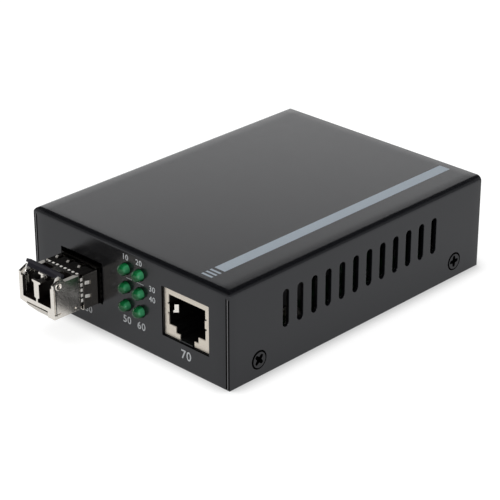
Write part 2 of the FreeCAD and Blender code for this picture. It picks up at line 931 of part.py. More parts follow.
def make_socket_contacts():
    """Eight sprung wires that slope down and back from the cavity's roof."""
    drawing = doc.addObject("Sketcher::SketchObject", "contact_sections")
    start = "(socket_front + contact_start)"
    tie(drawing, ".Placement.Base.y", start)
    drawing.Placement.Rotation = Rotation(Vector(1, 0, 0), 90)
    for index in range(int(number("contact_count"))):
        middle = f"(socket_middle + ({index} - (contact_count - 1)/2)*contact_pitch)"
        rectangle(
            drawing,
            f"{middle} - contact_width/2",
            f"{middle} + contact_width/2",
            "socket_roof - contact_thickness",
            "socket_roof",
        )
    wires = doc.addObject("Part::Extrusion", "rj45_contacts")
    wires.Label = "rj45_contacts"
    wires.Base = drawing
    wires.DirMode = "Custom"
    wires.Solid = True
    tie(wires, "Dir.x", "0")
    tie(wires, "Dir.y", "contact_run")
    tie(wires, "Dir.z", "-contact_drop")
    tie(wires, "LengthFwd", "sqrt(contact_run^2 + contact_drop^2)")
    return wires


COLUMNS = {"left": "lamp_left", "right": "lamp_right"}
ROWS = {"bottom": "lamp_bottom", "middle": "lamp_middle", "top": "lamp_top"}


def lamp_places():
    return [(across, up) for across in COLUMNS.values() for up in ROWS.values()]


def make_lamps():
    lamps = []
    for side, across in COLUMNS.items():
        for row, up in ROWS.items():
            name = f"led_{side}_{row}"
            dome = "(front_face - lamp_proud + lamp_radius)"
            rear = "(holder_front + lamp_socket_depth)"
            collar = "(holder_front - lamp_collar_length)"
            lamps.append(fused(name, [
                ball(name + "_dome", (across, dome, up), "lamp_radius"),
                rod(name + "_barrel", "y", (across, dome, up), "lamp_radius", f"{rear} - {dome}"),
                rod(name + "_collar", "y", (across, collar, up), "lamp_collar_radius", "lamp_collar_length"),
            ]))
    return lamps


def make_lamp_holders():
    holders = []
    for side, across in COLUMNS.items():
        name = f"led_holder_{side}"
        left = f"{across} - lamp_holder_width/2"
        right = f"{across} + lamp_holder_width/2"
        top = f"{ROWS['top']} + lamp_holder_width/2"
        body = block(name + "_block", left, right, "holder_front", "holder_rear", "board_top", top)
        bores = [
            rod(
                f"{name}_bore_{row}", "y", (across, "holder_front", up),
                "lamp_radius + moulding_gap", "lamp_socket_depth + moulding_gap",
            )
            for row, up in ROWS.items()
        ]
        holders.append(cut(name, body, bores))
    return holders


def make_lamp_leads():
    """Two bent leads to each lamp, from the holder's back down to the board."""
    leads = []
    for across in COLUMNS.values():
        for order, up in enumerate(ROWS.values()):
            for sign in ("-", "+"):
                middle = f"({across} {sign} lead_pitch/2)"
                left = f"{middle} - lead_size/2"
                right = f"{middle} + lead_size/2"
                back = f"(holder_rear + {order + 1}*lead_step)"
                low = f"({up} - lead_size/2)"
                high = f"({up} + lead_size/2)"
                index = len(leads) + 1
                run = block(f"lead_run_{index}", left, right, "holder_rear", back, low, high)
                drop = block(
                    f"lead_drop_{index}", left, right, f"{back} - lead_size", back, "board_top", high,
                )
                leads.append(fused(f"lead_{index}", [run, drop]))
    return group("led_leads", leads)


def make_cage():
    """The folded cage that the module slides into, with its latch tongue below the mouth."""
    body = new_body("sfp_cage")
    outline = new_sketch(body, "along", "-cage_front")
    left = "cage_middle - cage_width/2"
    right = "cage_middle + cage_width/2"
    rectangle(outline, left, right, "board_top", "cage_top")
    pad(body, outline, "cage_length", backwards=True)
    front = number("cage_front")
    round_edges(body, "cage_edge", lambda box: box.YLength > number("cage_length") - 1e-3)
    hollow(body, "cage_sheet", lambda box: at(box.YMin, box.YMax, front))
    connector = new_sketch(body, "flat", "board_top")
    rectangle(
        connector,
        "cage_middle - host_width/2 - 2*edge_gap",
        "cage_middle + host_width/2 + 2*edge_gap",
        "host_front - tail_length - 2*edge_gap",
        "host_rear + tail_length + edge_gap",
    )
    slit = "cage_front + tongue_length"
    for side in ("-", "+"):
        near_side = f"cage_middle {side} tongue_width/2"
        far_side = f"cage_middle {side} (tongue_width/2 + tongue_slit)"
        rectangle(connector, near_side, far_side, "cage_front - tongue_slit", slit)
    rectangle(
        connector,
        "cage_middle - latch_hole_width/2",
        "cage_middle + latch_hole_width/2",
        "latch_hole - latch_hole_length/2",
        "latch_hole + latch_hole_length/2",
    )
    pocket(body, connector, "cage_sheet", backwards=True)
    sides = new_sketch(body, "across", "0")
    for index in range(2):
        middle = "cage_front + side_hole_inset"
        level = f"(board_top + side_hole_first + {index}*side_hole_pitch)"
        rectangle(
            sides,
            f"{middle} - side_hole_length/2",
            f"{middle} + side_hole_length/2",
            f"{level} - side_hole_height/2",
            f"{level} + side_hole_height/2",
        )
    pocket(body, sides)
    roof = new_sketch(body, "flat", "cage_top")
    middle = "cage_front + top_hole_inset"
    first = "(cage_middle - top_hole_shift - (top_hole_count - 1)*top_hole_pitch/2)"
    rectangle(
        roof,
        f"{first} - top_hole_width/2",
        f"{first} + top_hole_width/2",
        f"{middle} - top_hole_length/2",
        f"{middle} + top_hole_length/2",
    )
    hole = pocket(body, roof, "cage_sheet")
    repeat(body, hole, "x", "top_hole_pitch", "top_hole_count")
    return body


def make_cage_collar():
    """Spring fingers on three sides of the cage where it passes through the panel."""
    body = new_body("cage_spring_collar")
    front = "(front_face - collar_front)"
    hoop = new_sketch(body, "along", f"-{front}")
    inner = "cage_width/2"
    outer = "(cage_width/2 + collar_sheet)"
    top = "(cage_top + collar_sheet)"
    polygon(hoop, [
        (f"cage_middle + {inner}", "board_top"), (f"cage_middle + {outer}", "board_top"),
        (f"cage_middle + {outer}", top), (f"cage_middle - {outer}", top),
        (f"cage_middle - {outer}", "board_top"), (f"cage_middle - {inner}", "board_top"),
        (f"cage_middle - {inner}", "cage_top"), (f"cage_middle + {inner}", "cage_top"),
    ])
    pad(body, hoop, "collar_length", backwards=True)
    start = f"({front} + collar_sheet)"
    crown = f"({start} + finger_length/2)"
    end = f"({start} + finger_length)"
    first = "(board_top + (cage_height - (side_finger_count - 1)*finger_pitch - finger_width)/2)"
    for sign in ("+", "-"):
        side = new_sketch(body, "flat", first)
        base = f"cage_middle {sign} {outer}"
        polygon(side, [(base, start), (f"{base} {sign} finger_rise", crown), (base, end)])
        finger = pad(body, side, "finger_width")
        repeat(body, finger, "z", "finger_pitch", "side_finger_count")
    left = "(cage_middle - ((top_finger_count - 1)*finger_pitch + finger_width)/2)"
    over = new_sketch(body, "across", left)
    polygon(over, [(start, top), (crown, f"{top} + finger_rise"), (end, top)])
    finger = pad(body, over, "finger_width")
    repeat(body, finger, "x", "finger_pitch", "top_finger_count")
    return body


def make_host_connector():
    left = "cage_middle - host_width/2"
    right = "cage_middle + host_width/2"
    body = block("host_block", left, right, "host_front", "host_rear", "board_top", "board_top + host_height")
    edge = "(module_board_thickness/2 + edge_gap)"
    slot = block(
        "host_slot",
        "cage_middle - card_edge_width/2 - edge_gap",
        "cage_middle + card_edge_width/2 + edge_gap",
        "host_front",
        "host_front + host_slot_depth",
        f"slot_level - {edge}",
        f"slot_level + {edge}",
    )
    return cut("sfp_host_connector", body, [slot])


def make_host_tails():
    tails = []
    for place, front in (("front", "(host_front - tail_length)"), ("rear", "host_rear")):
        for index in range(int(number("tail_count"))):
            middle = f"(cage_middle + ({index} - (tail_count - 1)/2)*tail_pitch)"
            tails.append(block(
                f"tail_{place}_{index + 1}",
                f"{middle} - tail_width/2",
                f"{middle} + tail_width/2",
                front,
                f"{front} + tail_length",
                "board_top",
                "board_top + tail_thickness",
            ))
    return group("sfp_connector_contacts", tails)


def make_power_jack():
    left = "jack_middle - jack_width/2"
    right = "jack_middle + jack_width/2"
    top = "board_top + jack_height"
    rear = "(jack_face - jack_depth)"
    flange = block("jack_flange_block", left, right, "jack_face - jack_flange", "jack_face", "board_top", top)
    barrel = rod("jack_barrel_rod", "y", ("jack_middle", rear, "jack_axis"), "jack_barrel", "jack_depth")
    foot = block(
        "jack_foot", "jack_middle - jack_foot_half", "jack_middle + jack_foot_half",
        rear, "jack_face", "board_top", "jack_axis",
    )
    shell = fused("jack_shell", [flange, barrel, foot])
    bottom = "(jack_face - jack_bore_depth)"
    bore = rod("jack_bore_rod", "y", ("jack_middle", bottom, "jack_axis"), "jack_bore", "jack_bore_depth")
    seat = block(
        "jack_spring_seat",
        "jack_middle - jack_spring_width/2", "jack_middle + jack_spring_width/2",
        bottom, "jack_face - jack_pin_setback",
        "jack_axis - jack_bore - jack_spring_sheet", "jack_axis",
    )
    body = cut("dc_jack_body", shell, [bore, seat])
    tip = "(jack_face - jack_pin_setback - jack_pin_radius)"
    pin = fused("dc_jack_pin", [
        rod(
            "jack_pin_rod", "y", ("jack_middle", bottom, "jack_axis"),
            "jack_pin_radius", f"{tip} - {bottom}",
        ),
        ball("jack_pin_tip", ("jack_middle", tip, "jack_axis"), "jack_pin_radius"),
    ])
    floor = "(jack_axis - jack_bore - jack_spring_sheet)"
    spring = block(
        "dc_jack_spring",
        "jack_middle - jack_spring_width/2 + moulding_gap",
        "jack_middle + jack_spring_width/2 - moulding_gap",
        bottom, "jack_face - jack_pin_setback - moulding_gap",
        floor, f"{floor} + jack_spring_sheet",
    )
    return [body, pin, spring]


# Chips on the board: where each one's middle is, its size, and the legs on each side that has them
CHIPS = {
    "converter_chip": {
        "across": "(socket_middle - 16.5)", "along": "-6.0",
        "width": "14.0", "depth": "14.0", "height": "1.4", "leg_count": 14,
    },
    "memory_chip": {
        "across": "(socket_middle - 2.5)", "along": "2.0",
        "width": "5.0", "depth": "4.0", "height": "1.5", "leg_count": 4,
    },
    "magnetics": {
        "across": "(socket_middle - 2.0)", "along": "(socket_rear + 10.9)",
        "width": "12.7", "depth": "8.0", "height": "5.6", "leg_count": 8,
    },
    "voltage_regulator": {
        "across": "(jack_middle - 8.5)", "along": "36.0",
        "width": "6.5", "depth": "3.6", "height": "1.7", "leg_count": 3,
    },
}

# Electrolytic capacitors: where each stands, its radius and its height
CANS = {
    "filter_capacitor_large": {
        "across": "(jack_middle - 32.0)", "along": "34.0", "radius": "5.0", "height": "11.0",
    },
    "filter_capacitor_small": {
        "across": "(jack_middle - 14.0)", "along": "22.0", "radius": "3.15", "height": "7.0",
    },
}

# Rows of chip resistors and capacitors: the left front corner of each row and the parts in it
PART_ROWS = (
    {"across": "(cage_middle + cage_width/2 + 4.4)", "along": "-24.0", "part_count": 5},
    {"across": "(socket_middle - 22.5)", "along": "8.0", "part_count": 6},
    {"across": "(board_half - 8.1)", "along": "10.0", "part_count": 4},
    {"across": "(8.1 - board_half)", "along": "8.0", "part_count": 5},
)


def make_chip(label, chip, four_sides):
    """A moulded component with flat legs on two or four sides, standing on the board."""
    across, along, width, depth = (chip[key] for key in ("across", "along", "width", "depth"))
    pieces = [block(
        label + "_case", f"{across} - {width}/2", f"{across} + {width}/2",
        f"{along} - {depth}/2", f"{along} + {depth}/2", "board_top", f"board_top + {chip['height']}",
    )]
    top = "board_top + chip_leg_thickness"
    pitch = f"({width} - 2*chip_leg_inset)/{chip['leg_count'] - 1}"
    for index in range(chip["leg_count"]):
        shift = f"({index} - {(chip['leg_count'] - 1) / 2})*{pitch}"
        low = f"{across} + {shift} - chip_leg_width/2"
        high = f"{across} + {shift} + chip_leg_width/2"
        for sign in ("-", "+"):
            inner = f"({along} {sign} {depth}/2)"
            outer = f"({inner} {sign} chip_leg_reach)"
            front, back = (outer, inner) if sign == "-" else (inner, outer)
            name = f"{label}_leg_{len(pieces)}"
            pieces.append(block(name, low, high, front, back, "board_top", top))
        if not four_sides:
            continue
        near_edge = f"{along} + {shift} - chip_leg_width/2"
        far_edge = f"{along} + {shift} + chip_leg_width/2"
        for sign in ("-", "+"):
            inner = f"({across} {sign} {width}/2)"
            outer = f"({inner} {sign} chip_leg_reach)"
            left, right = (outer, inner) if sign == "-" else (inner, outer)
            name = f"{label}_leg_{len(pieces)}"
            pieces.append(block(name, left, right, near_edge, far_edge, "board_top", top))
    return fused(label, pieces)


def make_can(label, can):
    """An electrolytic capacitor: a can with a rolled groove near its foot."""
    radius = can["radius"]
    body = turned(label, [
        ("0", "0"), (radius, "0"), (radius, "can_groove_level - can_groove_depth"),
        (f"{radius} - can_groove_depth", "can_groove_level"),
        (radius, "can_groove_level + can_groove_depth"), (radius, can["height"]), ("0", can["height"]),
    ])
    for name, text in zip("xyz", (can["across"], can["along"], "board_top")):
        tie(body, f".Placement.Base.{name}", text)
    return body


def make_small_parts():
    """Chip resistors and capacitors in rows on the board."""
    pieces = []
    for row in PART_ROWS:
        for index in range(row["part_count"]):
            left = f"{row['across']} + {index}*small_part_pitch"
            pieces.append(block(
                f"small_part_{len(pieces) + 1}", left, f"{left} + small_part_width",
                row["along"], f"{row['along']} + small_part_depth",
                "board_top", "board_top + small_part_height",
            ))
    return group("small_parts", pieces)


def make_crystal():
    body = new_body("clock_crystal")
    left = "(socket_middle - 23.5)"
    front = "-19.5"
    outline = new_sketch(body, "flat", "board_top")
    rectangle(outline, left, f"{left} + crystal_width", front, f"{front} + crystal_depth")
    pad(body, outline, "crystal_height")
    tall = number("crystal_height") / 2
    base = number("board_top")
    round_edges(body, "crystal_corner", lambda box: box.ZLength > tall and near(box.ZMin, base))
    return body


def make_inductor():
    left = "(jack_middle - 22.0)"
    front = "32.0"
    return block(
        "power_inductor", left, f"{left} + inductor_size", front, f"{front} + inductor_size",
        "board_top", "board_top + inductor_height",
    )


def make_fuse():
    left = "(jack_middle + 2.0)"
    front = "24.0"
    return block(
        "input_fuse", left, f"{left} + fuse_width", front, f"{front} + fuse_depth",
        "board_top", "board_top + fuse_height",
    )


def make_board_parts():
    chips = [make_chip(label, chip, label == "converter_chip") for label, chip in CHIPS.items()]
    cans = [make_can(label, can) for label, can in CANS.items()]
    return [*chips, make_crystal(), make_inductor(), *cans, make_fuse(), make_small_parts()]


def port_outline(drawing, sign):
    """One fibre port: it narrows above its foot at the middle post and again under the post's head."""
    outer = f"cage_middle {sign} port_side"
    foot = f"cage_middle {sign} post_foot/2"
    waist = f"cage_middle {sign} post_body/2"
    head = f"cage_middle {sign} post_head/2"
    polygon(drawing, [
        (outer, "port_sill"), (foot, "port_sill"),
        (foot, "port_waist - port_bevel"), (waist, "port_waist + port_bevel"),
        (waist, "port_brow - port_bevel"), (head, "port_brow + port_bevel"),
        (head, "fin_crown"), (outer, "fin_crown"),
    ])


def make_module_housing():
    """The module's die-cast nose and tray in one piece."""
    body = new_body("module_housing")
    profile = new_sketch(body, "across", "cage_middle")
    crest = "(nose_face + fin_slope_run)"
    polygon(profile, [
        ("nose_face", "module_low"), ("nose_rear", "module_low"),
        ("nose_rear", "nose_roof"), ("fin_back", "nose_roof"),
        (f"{crest} + fin_crest", "fin_crown"), (crest, "fin_crown"), ("nose_face", "nose_roof"),
    ])
    pad(body, profile, "2*module_half", both_ways=True)
    tray = new_sketch(body, "along", "-module_tray_back")
    inside = "(module_tray_half - tray_wall)"
    rim = "(slot_level - module_board_thickness/2)"
    polygon(tray, [
        ("cage_middle - module_tray_half", "module_low"), ("cage_middle + module_tray_half", "module_low"),
        ("cage_middle + module_tray_half", rim), (f"cage_middle + {inside}", rim),
        (f"cage_middle + {inside}", "module_floor"), (f"cage_middle - {inside}", "module_floor"),
        (f"cage_middle - {inside}", rim), ("cage_middle - module_tray_half", rim),
    ])
    pad(body, tray, "module_tray_back - (nose_rear) + module_sheet")
    ports = new_sketch(body, "along", "-nose_face")
    for sign in ("-", "+"):
        port_outline(ports, sign)
    pocket(body, ports, "port_depth")
    barrels = new_sketch(body, "along", "-nose_face")
    for sign in ("-", "+"):
        disc(barrels, f"cage_middle {sign} port_pitch/2", "port_centre", "barrel_radius + barrel_gap")
    pocket(body, barrels, "nose_length + module_sheet")
    well = new_sketch(body, "flat", "fin_crown + 1")
    slot_left = "cage_middle - well_side"
    slot_right = "cage_middle + well_side"
    rectangle(well, slot_left, slot_right, "frame_back + frame_depth", "bridge_face")
    pocket(body, well, "fin_crown + 1 - port_brow")
    back_well = new_sketch(body, "flat", "fin_crown + 1")
    rectangle(back_well, slot_left, slot_right, "bridge_face + bridge_depth", "fin_back")
    pocket(body, back_well, "fin_crown + 1 - port_brow")
    front_well = new_sketch(body, "along", "-nose_face")
    polygon(front_well, [
        (slot_left, "upright_crown"),
        ("cage_middle - post_head/2", "upright_crown"),
        ("cage_middle - post_head/2", "post_crown"),
        ("cage_middle + post_head/2", "post_crown"),
        ("cage_middle + post_head/2", "upright_crown"),
        (slot_right, "upright_crown"),
        (slot_right, "fin_crown + 1"),
        (slot_left, "fin_crown + 1"),
    ])
    pocket(body, front_well, "2*frame_depth")
    crown = new_sketch(body, "along", "-bridge_face")
    polygon(crown, [
        (slot_left, "port_brow"),
        ("cage_middle - bridge_stem/2", "port_brow"),
        ("cage_middle - bridge_stem/2", "bridge_under"),
        ("cage_middle - bridge_width/2", "bridge_under"),
        ("cage_middle - bridge_width/2", "bridge_crown"),
        ("cage_middle + bridge_width/2", "bridge_crown"),
        ("cage_middle + bridge_width/2", "bridge_under"),
        ("cage_middle + bridge_stem/2", "bridge_under"),
        ("cage_middle + bridge_stem/2", "port_brow"),
        (slot_right, "port_brow"),
        (slot_right, "fin_crown + 1"),
        (slot_left, "fin_crown + 1"),
    ])
    pocket(body, crown, "bridge_depth")
    legs = new_sketch(body, "flat", "module_low")
    rectangle(legs, slot_left, slot_right, "frame_back", "leg_slot_back")
    pocket(body, legs, "lever_ceiling - module_low", backwards=True)
    for sign in ("-", "+"):
        shaft = new_sketch(body, "flat", "module_low")
        rectangle(
            shaft, f"cage_middle {sign} port_side", f"cage_middle {sign} well_side",
            "frame_back", "leg_slot_back",
        )
        pocket(body, shaft, "fin_crown - module_low", backwards=True)
    under = new_sketch(body, "flat", "module_low")
    beam = "(lever_beam_width/2 + 2*leg_gap)"
    beam_back = "latch_hole + boss_length/2 + beam_end_gap"
    rectangle(under, f"cage_middle - {beam}", f"cage_middle + {beam}", "leg_slot_back", beam_back)
    pocket(body, under, "lever_ceiling - module_low", backwards=True)
    lip = new_sketch(body, "flat", "module_low")
    lip_half = "(lever_lip_width/2 + 2*leg_gap)"
    rectangle(lip, f"cage_middle - {lip_half}", f"cage_middle + {lip_half}", "nose_face", "frame_back")
    pocket(body, lip, "lever_ceiling - module_low", backwards=True)
    pin = new_sketch(body, "flat", "module_low")
    pin_half = "(lever_pin_width/2 + leg_gap)"
    reach = "(lever_pin_radius + leg_gap)"
    rectangle(
        pin, f"cage_middle - {pin_half}", f"cage_middle + {pin_half}",
        f"lever_place - {reach}", f"lever_place + {reach}",
    )
    pocket(body, pin, f"lever_level + {reach} - module_low", backwards=True)
    axle = new_sketch(body, "across", "cage_middle + module_half")
    disc(axle, "pivot_place", "pivot_level", "axle_radius + axle_gap")
    pocket(body, axle)
    corner = new_sketch(body, "along", "-nose_face")
    left = "cage_middle - module_half"
    polygon(corner, [
        (f"{left} - edge_gap", "module_low - edge_gap"), (f"{left} + corner_run", "module_low - edge_gap"),
        (f"{left} + corner_run", "module_low"), (f"{left} - edge_gap", "module_low + corner_rise"),
    ])
    pocket(body, corner, "frame_depth + leg_slot_depth")
    for sign, backwards in (("+", False), ("-", True)):
        rings = new_sketch(body, "across", f"cage_middle {sign} module_half")
        disc(rings, "pivot_place", "pivot_level", "ring_radius")
        disc(rings, "lever_place", "lever_level", "lower_ring_radius")
        pad(body, rings, "ring_rise", backwards=not backwards)
        holes = new_sketch(body, "across", f"cage_middle {sign} (module_half + ring_rise)")
        disc(holes, "pivot_place", "pivot_level", "ring_hole")
        disc(holes, "lever_place", "lever_level", "lower_ring_hole")
        pocket(body, holes, "ring_depth", backwards=backwards)
        groove = new_sketch(body, "across", f"cage_middle {sign} module_half")
        polygon(groove, [
            ("groove_front", "groove_level"),
            ("groove_front + groove_back", "groove_level"),
            ("groove_front + groove_back", "groove_level + groove_size"),
            ("groove_front + groove_size", "groove_level + groove_size"),
            ("groove_front + groove_size", "port_brow"),
            ("groove_front", "port_brow"),
        ])
        pocket(body, groove, "groove_size", backwards=backwards)
    return body


def make_module_cover():
    """A thin folded sheet over the tray, behind the spring collar."""
    body = new_body("module_cover")
    front = "(nose_rear + module_collar_length)"
    hoop = new_sketch(body, "along", f"-{front}")
    polygon(hoop, [
        ("cage_middle + module_tray_half", "module_floor"), ("cage_middle + module_half", "module_floor"),
        ("cage_middle + module_half", "module_top"), ("cage_middle - module_half", "module_top"),
        ("cage_middle - module_half", "module_floor"), ("cage_middle - module_tray_half", "module_floor"),
        ("cage_middle - module_tray_half", "module_roof"), ("cage_middle + module_tray_half", "module_roof"),
    ])
    pad(body, hoop, f"module_tray_back - {front}", backwards=True)
    return body


def make_module_collar():
    """Spring fingers round the module just ahead of the cage's mouth."""
    body = new_body("module_spring_collar")
    hoop = new_sketch(body, "along", "-nose_rear")
    polygon(hoop, [
        ("cage_middle + module_tray_half", "module_floor"), ("cage_middle + module_half", "module_floor"),
        ("cage_middle + module_half", "module_top"), ("cage_middle - module_half", "module_top"),
        ("cage_middle - module_half", "module_floor"), ("cage_middle - module_tray_half", "module_floor"),
        ("cage_middle - module_tray_half", "module_roof"), ("cage_middle + module_tray_half", "module_roof"),
    ])
    pad(body, hoop, "module_collar_length - moulding_gap", backwards=True)
    crown = "(cage_front - nose_rear - module_collar_gap)"
    first = "(module_floor + finger_width/2)"
    for sign in ("+", "-"):
        side = new_sketch(body, "flat", first)
        base = f"cage_middle {sign} module_half"
        tip = f"{base} {sign} module_collar_rise"
        polygon(side, [
            (base, "nose_rear"), (tip, f"nose_rear + 0.3*{crown}"),
            (tip, f"nose_rear + 0.6*{crown}"), (base, f"nose_rear + {crown}"),
        ])
        finger = pad(body, side, "finger_width")
        repeat(body, finger, "z", "finger_pitch", "side_finger_count")
    left = "(cage_middle - ((top_finger_count - 1)*finger_pitch + finger_width)/2)"
    over = new_sketch(body, "across", left)
    tip = "module_top + module_collar_rise"
    polygon(over, [
        ("nose_rear", "module_top"), (f"nose_rear + 0.3*{crown}", tip),
        (f"nose_rear + 0.6*{crown}", tip), (f"nose_rear + {crown}", "module_top"),
    ])
    finger = pad(body, over, "finger_width")
    repeat(body, finger, "x", "finger_pitch", "top_finger_count")
    return body


def make_module_board():
    body = new_body("module_board")
    outline = new_sketch(body, "flat", "slot_level - module_board_thickness/2")
    front = "nose_rear + module_sheet + can_length + module_board_gap"
    wide = "(module_tray_half - edge_gap)"
    edge = "card_edge_width/2"
    step = "module_tray_back - edge_gap"
    end = "host_front + host_slot_depth - edge_gap"
    polygon(outline, [
        (f"cage_middle - {wide}", front), (f"cage_middle + {wide}", front), (f"cage_middle + {wide}", step),
        (f"cage_middle + {edge}", step), (f"cage_middle + {edge}", end), (f"cage_middle - {edge}", end),
        (f"cage_middle - {edge}", step), (f"cage_middle - {wide}", step),
    ])
    pad(body, outline, "module_board_thickness")
    return body


def make_optics():
    """Transmitter and receiver: a barrel in the port's rear wall with its can behind."""
    optics = []
    for label, sign in (("transmitter", "-"), ("receiver", "+")):
        across = f"(cage_middle {sign} port_pitch/2)"
        wall = "(nose_rear + module_sheet)"
        tip = "(nose_face + port_depth - barrel_reach)"
        solid = fused(label + "_solid", [
            rod(label + "_barrel", "y", (across, tip, "port_centre"), "barrel_radius", f"{wall} - {tip}"),
            rod(label + "_can", "y", (across, wall, "port_centre"), "can_radius", "can_length"),
        ])
        bore = rod(label + "_bore", "y", (across, tip, "port_centre"), "ferrule_radius", "ferrule_depth")
        optics.append(cut(label, solid, [bore]))
    return optics


# The handle's corners, back and up from its axle: the arm's roots, and the two sides of the bar
HANDLE = {
    "rear_root": ("-arm_root", "arm_foot"),
    "front_root": ("arm_root", "arm_foot"),
    "heel": ("0", "heel_height"),
    "crest": ("crest_back", "crest_height"),
    "tip": ("tip_back", "tip_height"),
    "lap": ("lap_back", "lap_height"),
}

# The raised grip across the bar, in the same terms
GRIP = (
    ("grip_start", "grip_low"), ("grip_start + grip_rise", "grip_high"),
    ("grip_end", "grip_end_height"), ("crest_back", "grip_root"),
)


def handle_point(back, up):
    return (f"pivot_place + {back}", f"pivot_level + {up}")


def make_handle():
    """The release handle: a sloped bar on two arms, each with a hub and a cam."""
    body = new_body("bale_handle")
    outer = "(well_side - handle_side_gap)"
    bar = new_sketch(body, "across", "cage_middle")
    polygon(bar, [handle_point(*HANDLE[name]) for name in ("heel", "crest", "tip", "lap")])
    pad(body, bar, f"2*{outer}", both_ways=True)
    grip = new_sketch(body, "across", "cage_middle")
    polygon(grip, [handle_point(*point) for point in GRIP])
    pad(body, grip, "2*module_half", both_ways=True)
    for sign, backwards in (("+", True), ("-", False)):
        arm = new_sketch(body, "across", f"cage_middle {sign} {outer}")
        names = ("rear_root", "heel", "crest", "tip", "front_root")
        polygon(arm, [handle_point(*HANDLE[name]) for name in names])
        pad(body, arm, "arm_thickness", backwards=backwards)
        hub = new_sketch(body, "across", f"cage_middle {sign} {outer}")
        disc(hub, "pivot_place", "pivot_level", "hub_radius")
        pad(body, hub, "arm_thickness", backwards=backwards)
        cam = new_sketch(body, "across", f"cage_middle {sign} {outer}")
        disc(cam, "pivot_place - (cam_reach - cam_radius)", "pivot_level", "cam_radius")
        pad(body, cam, "arm_thickness", backwards=backwards)
    bore = new_sketch(body, "across", f"cage_middle + {outer}")
    disc(bore, "pivot_place", "pivot_level", "axle_radius + axle_gap")
    pocket(body, bore)
    return body


def make_axle():
    half = "(module_half + ring_rise - ring_depth)"
    start = (f"cage_middle - {half}", "pivot_place", "pivot_level")
    return rod("bale_axle", "x", start, "axle_radius", f"2*{half}")


def lever_lip(low):
    """The lip below the ports. Its lower edge slopes up to the left."""
    drawing = doc.addObject("Sketcher::SketchObject", "lever_lip_outline")
    tie(drawing, ".Placement.Base.y", "nose_face + leg_gap")
    drawing.Placement.Rotation = Rotation(Vector(1, 0, 0), 90)
    polygon(drawing, [
        ("cage_middle", low), ("cage_middle + lever_lip_width/2", low),
        ("cage_middle + lever_lip_width/2", f"{low} + lever_lip_height"),
        ("cage_middle - lever_lip_width/2", f"{low} + lever_lip_height"),
        ("cage_middle - lever_lip_width/2", f"{low} + lever_lip_height/2"),
    ])
    lip = doc.addObject("Part::Extrusion", "lever_lip")
    lip.Base = drawing
    lip.DirMode = "Custom"
    lip.Solid = True
    lip.Dir = Vector(0, 1, 0)
    tie(lip, "LengthFwd", "frame_depth")
    return lip


def make_lever():
    """The latch lever: a front lip and two upright legs ahead of its pivot, a beam with the boss behind."""
    outer = "(well_side - leg_gap)"
    low = "(module_low + 0.25)"
    high = f"({low} + lever_sheet)"
    leg_front = "(pivot_place - leg_depth/2)"
    leg_back = "(pivot_place + leg_depth/2)"
    leg_top = "(pivot_level - hub_radius - leg_gap)"
    boss = "(cage_front + latch_hole_inset)"
    pieces = [
        block(
            "lever_plate", f"cage_middle - {outer}", f"cage_middle + {outer}",
            leg_front, leg_back, low, high,
        ),
        block(
            "lever_beam", "cage_middle - lever_beam_width/2", "cage_middle + lever_beam_width/2",
            leg_front, f"{boss} + boss_length/2", low, high,
        ),
        lever_lip(low),
        block(
            "lever_apron", "cage_middle", "cage_middle + lever_lip_width/2",
            "nose_face + frame_depth", leg_front, low, high,
        ),
        block(
            "lever_boss", "cage_middle - boss_width/2", "cage_middle + boss_width/2",
            f"{boss} - boss_length/2", f"{boss} + boss_length/2", "board_top - boss_through", low,
        ),
        rod(
            "lever_pin", "x", ("cage_middle - lever_pin_width/2", "lever_place", "lever_level"),
            "lever_pin_radius", "lever_pin_width",
        ),
    ]
    for sign in ("-", "+"):
        inner = f"cage_middle {sign} ({outer} - leg_thickness)"
        far = f"cage_middle {sign} {outer}"
        left, right = (far, inner) if sign == "-" else (inner, far)
        pieces.append(block(f"lever_leg_{len(pieces)}", left, right, leg_front, leg_back, low, leg_top))
    return fused("latch_lever", pieces)


def make_module_chip():
    top = "(slot_level + module_board_thickness/2)"
    front = "(cage_front + 15.7)"
    return block(
        "module_chip", "cage_middle - module_chip_size/2", "cage_middle + module_chip_size/2",
        front, f"{front} + module_chip_size", top, f"{top} + module_chip_height",
    )


nodes = [
    make_top_cover(),
    make_base_tray(),
    make_cover_screws(),
    make_standoffs(),
    make_board_screws(),
    make_circuit_board(),
    make_socket_shield(),
    make_socket_body(),
    make_socket_contacts(),
    *make_lamps(),
    *make_lamp_holders(),
    make_lamp_leads(),
    make_cage(),
    make_cage_collar(),
    make_host_connector(),
    make_host_tails(),
    *make_power_jack(),
    *make_board_parts(),
    make_module_housing(),
    make_module_cover(),
    make_module_collar(),
    make_module_board(),
    make_module_chip(),
    *make_optics(),
    make_handle(),
    make_axle(),
    make_lever(),
]
doc.recompute()

for item in doc.Objects:
    if "Invalid" in item.State or "Error" in item.State:
        raise RuntimeError(item.Label + " did not build")
os.makedirs("parts", exist_ok=True)
for node in nodes:
    if node.Shape.isNull() or not node.Shape.isValid():
        raise RuntimeError(node.Label + " is not a valid solid")
    node.Shape.exportStep(f"parts/{node.Label}.step")
    box = node.Shape.BoundBox
    solids = len(node.Shape.Solids)
    print(f"{node.Label}: {solids} solid(s), {node.Shape.Volume:.2f} mm3, z {box.ZMin:.2f} to {box.ZMax:.2f}")
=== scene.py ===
"""Fibre media converter: finishes, printed marks, small trim and the studio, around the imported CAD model.

Metres, in the frame of the CAD model: the origin is the middle of the case's footprint,
+X runs to the right along the front, +Y to the back and +Z up.
"""
import json
import math

import bmesh
import bpy
from mathutils import Matrix, Vector


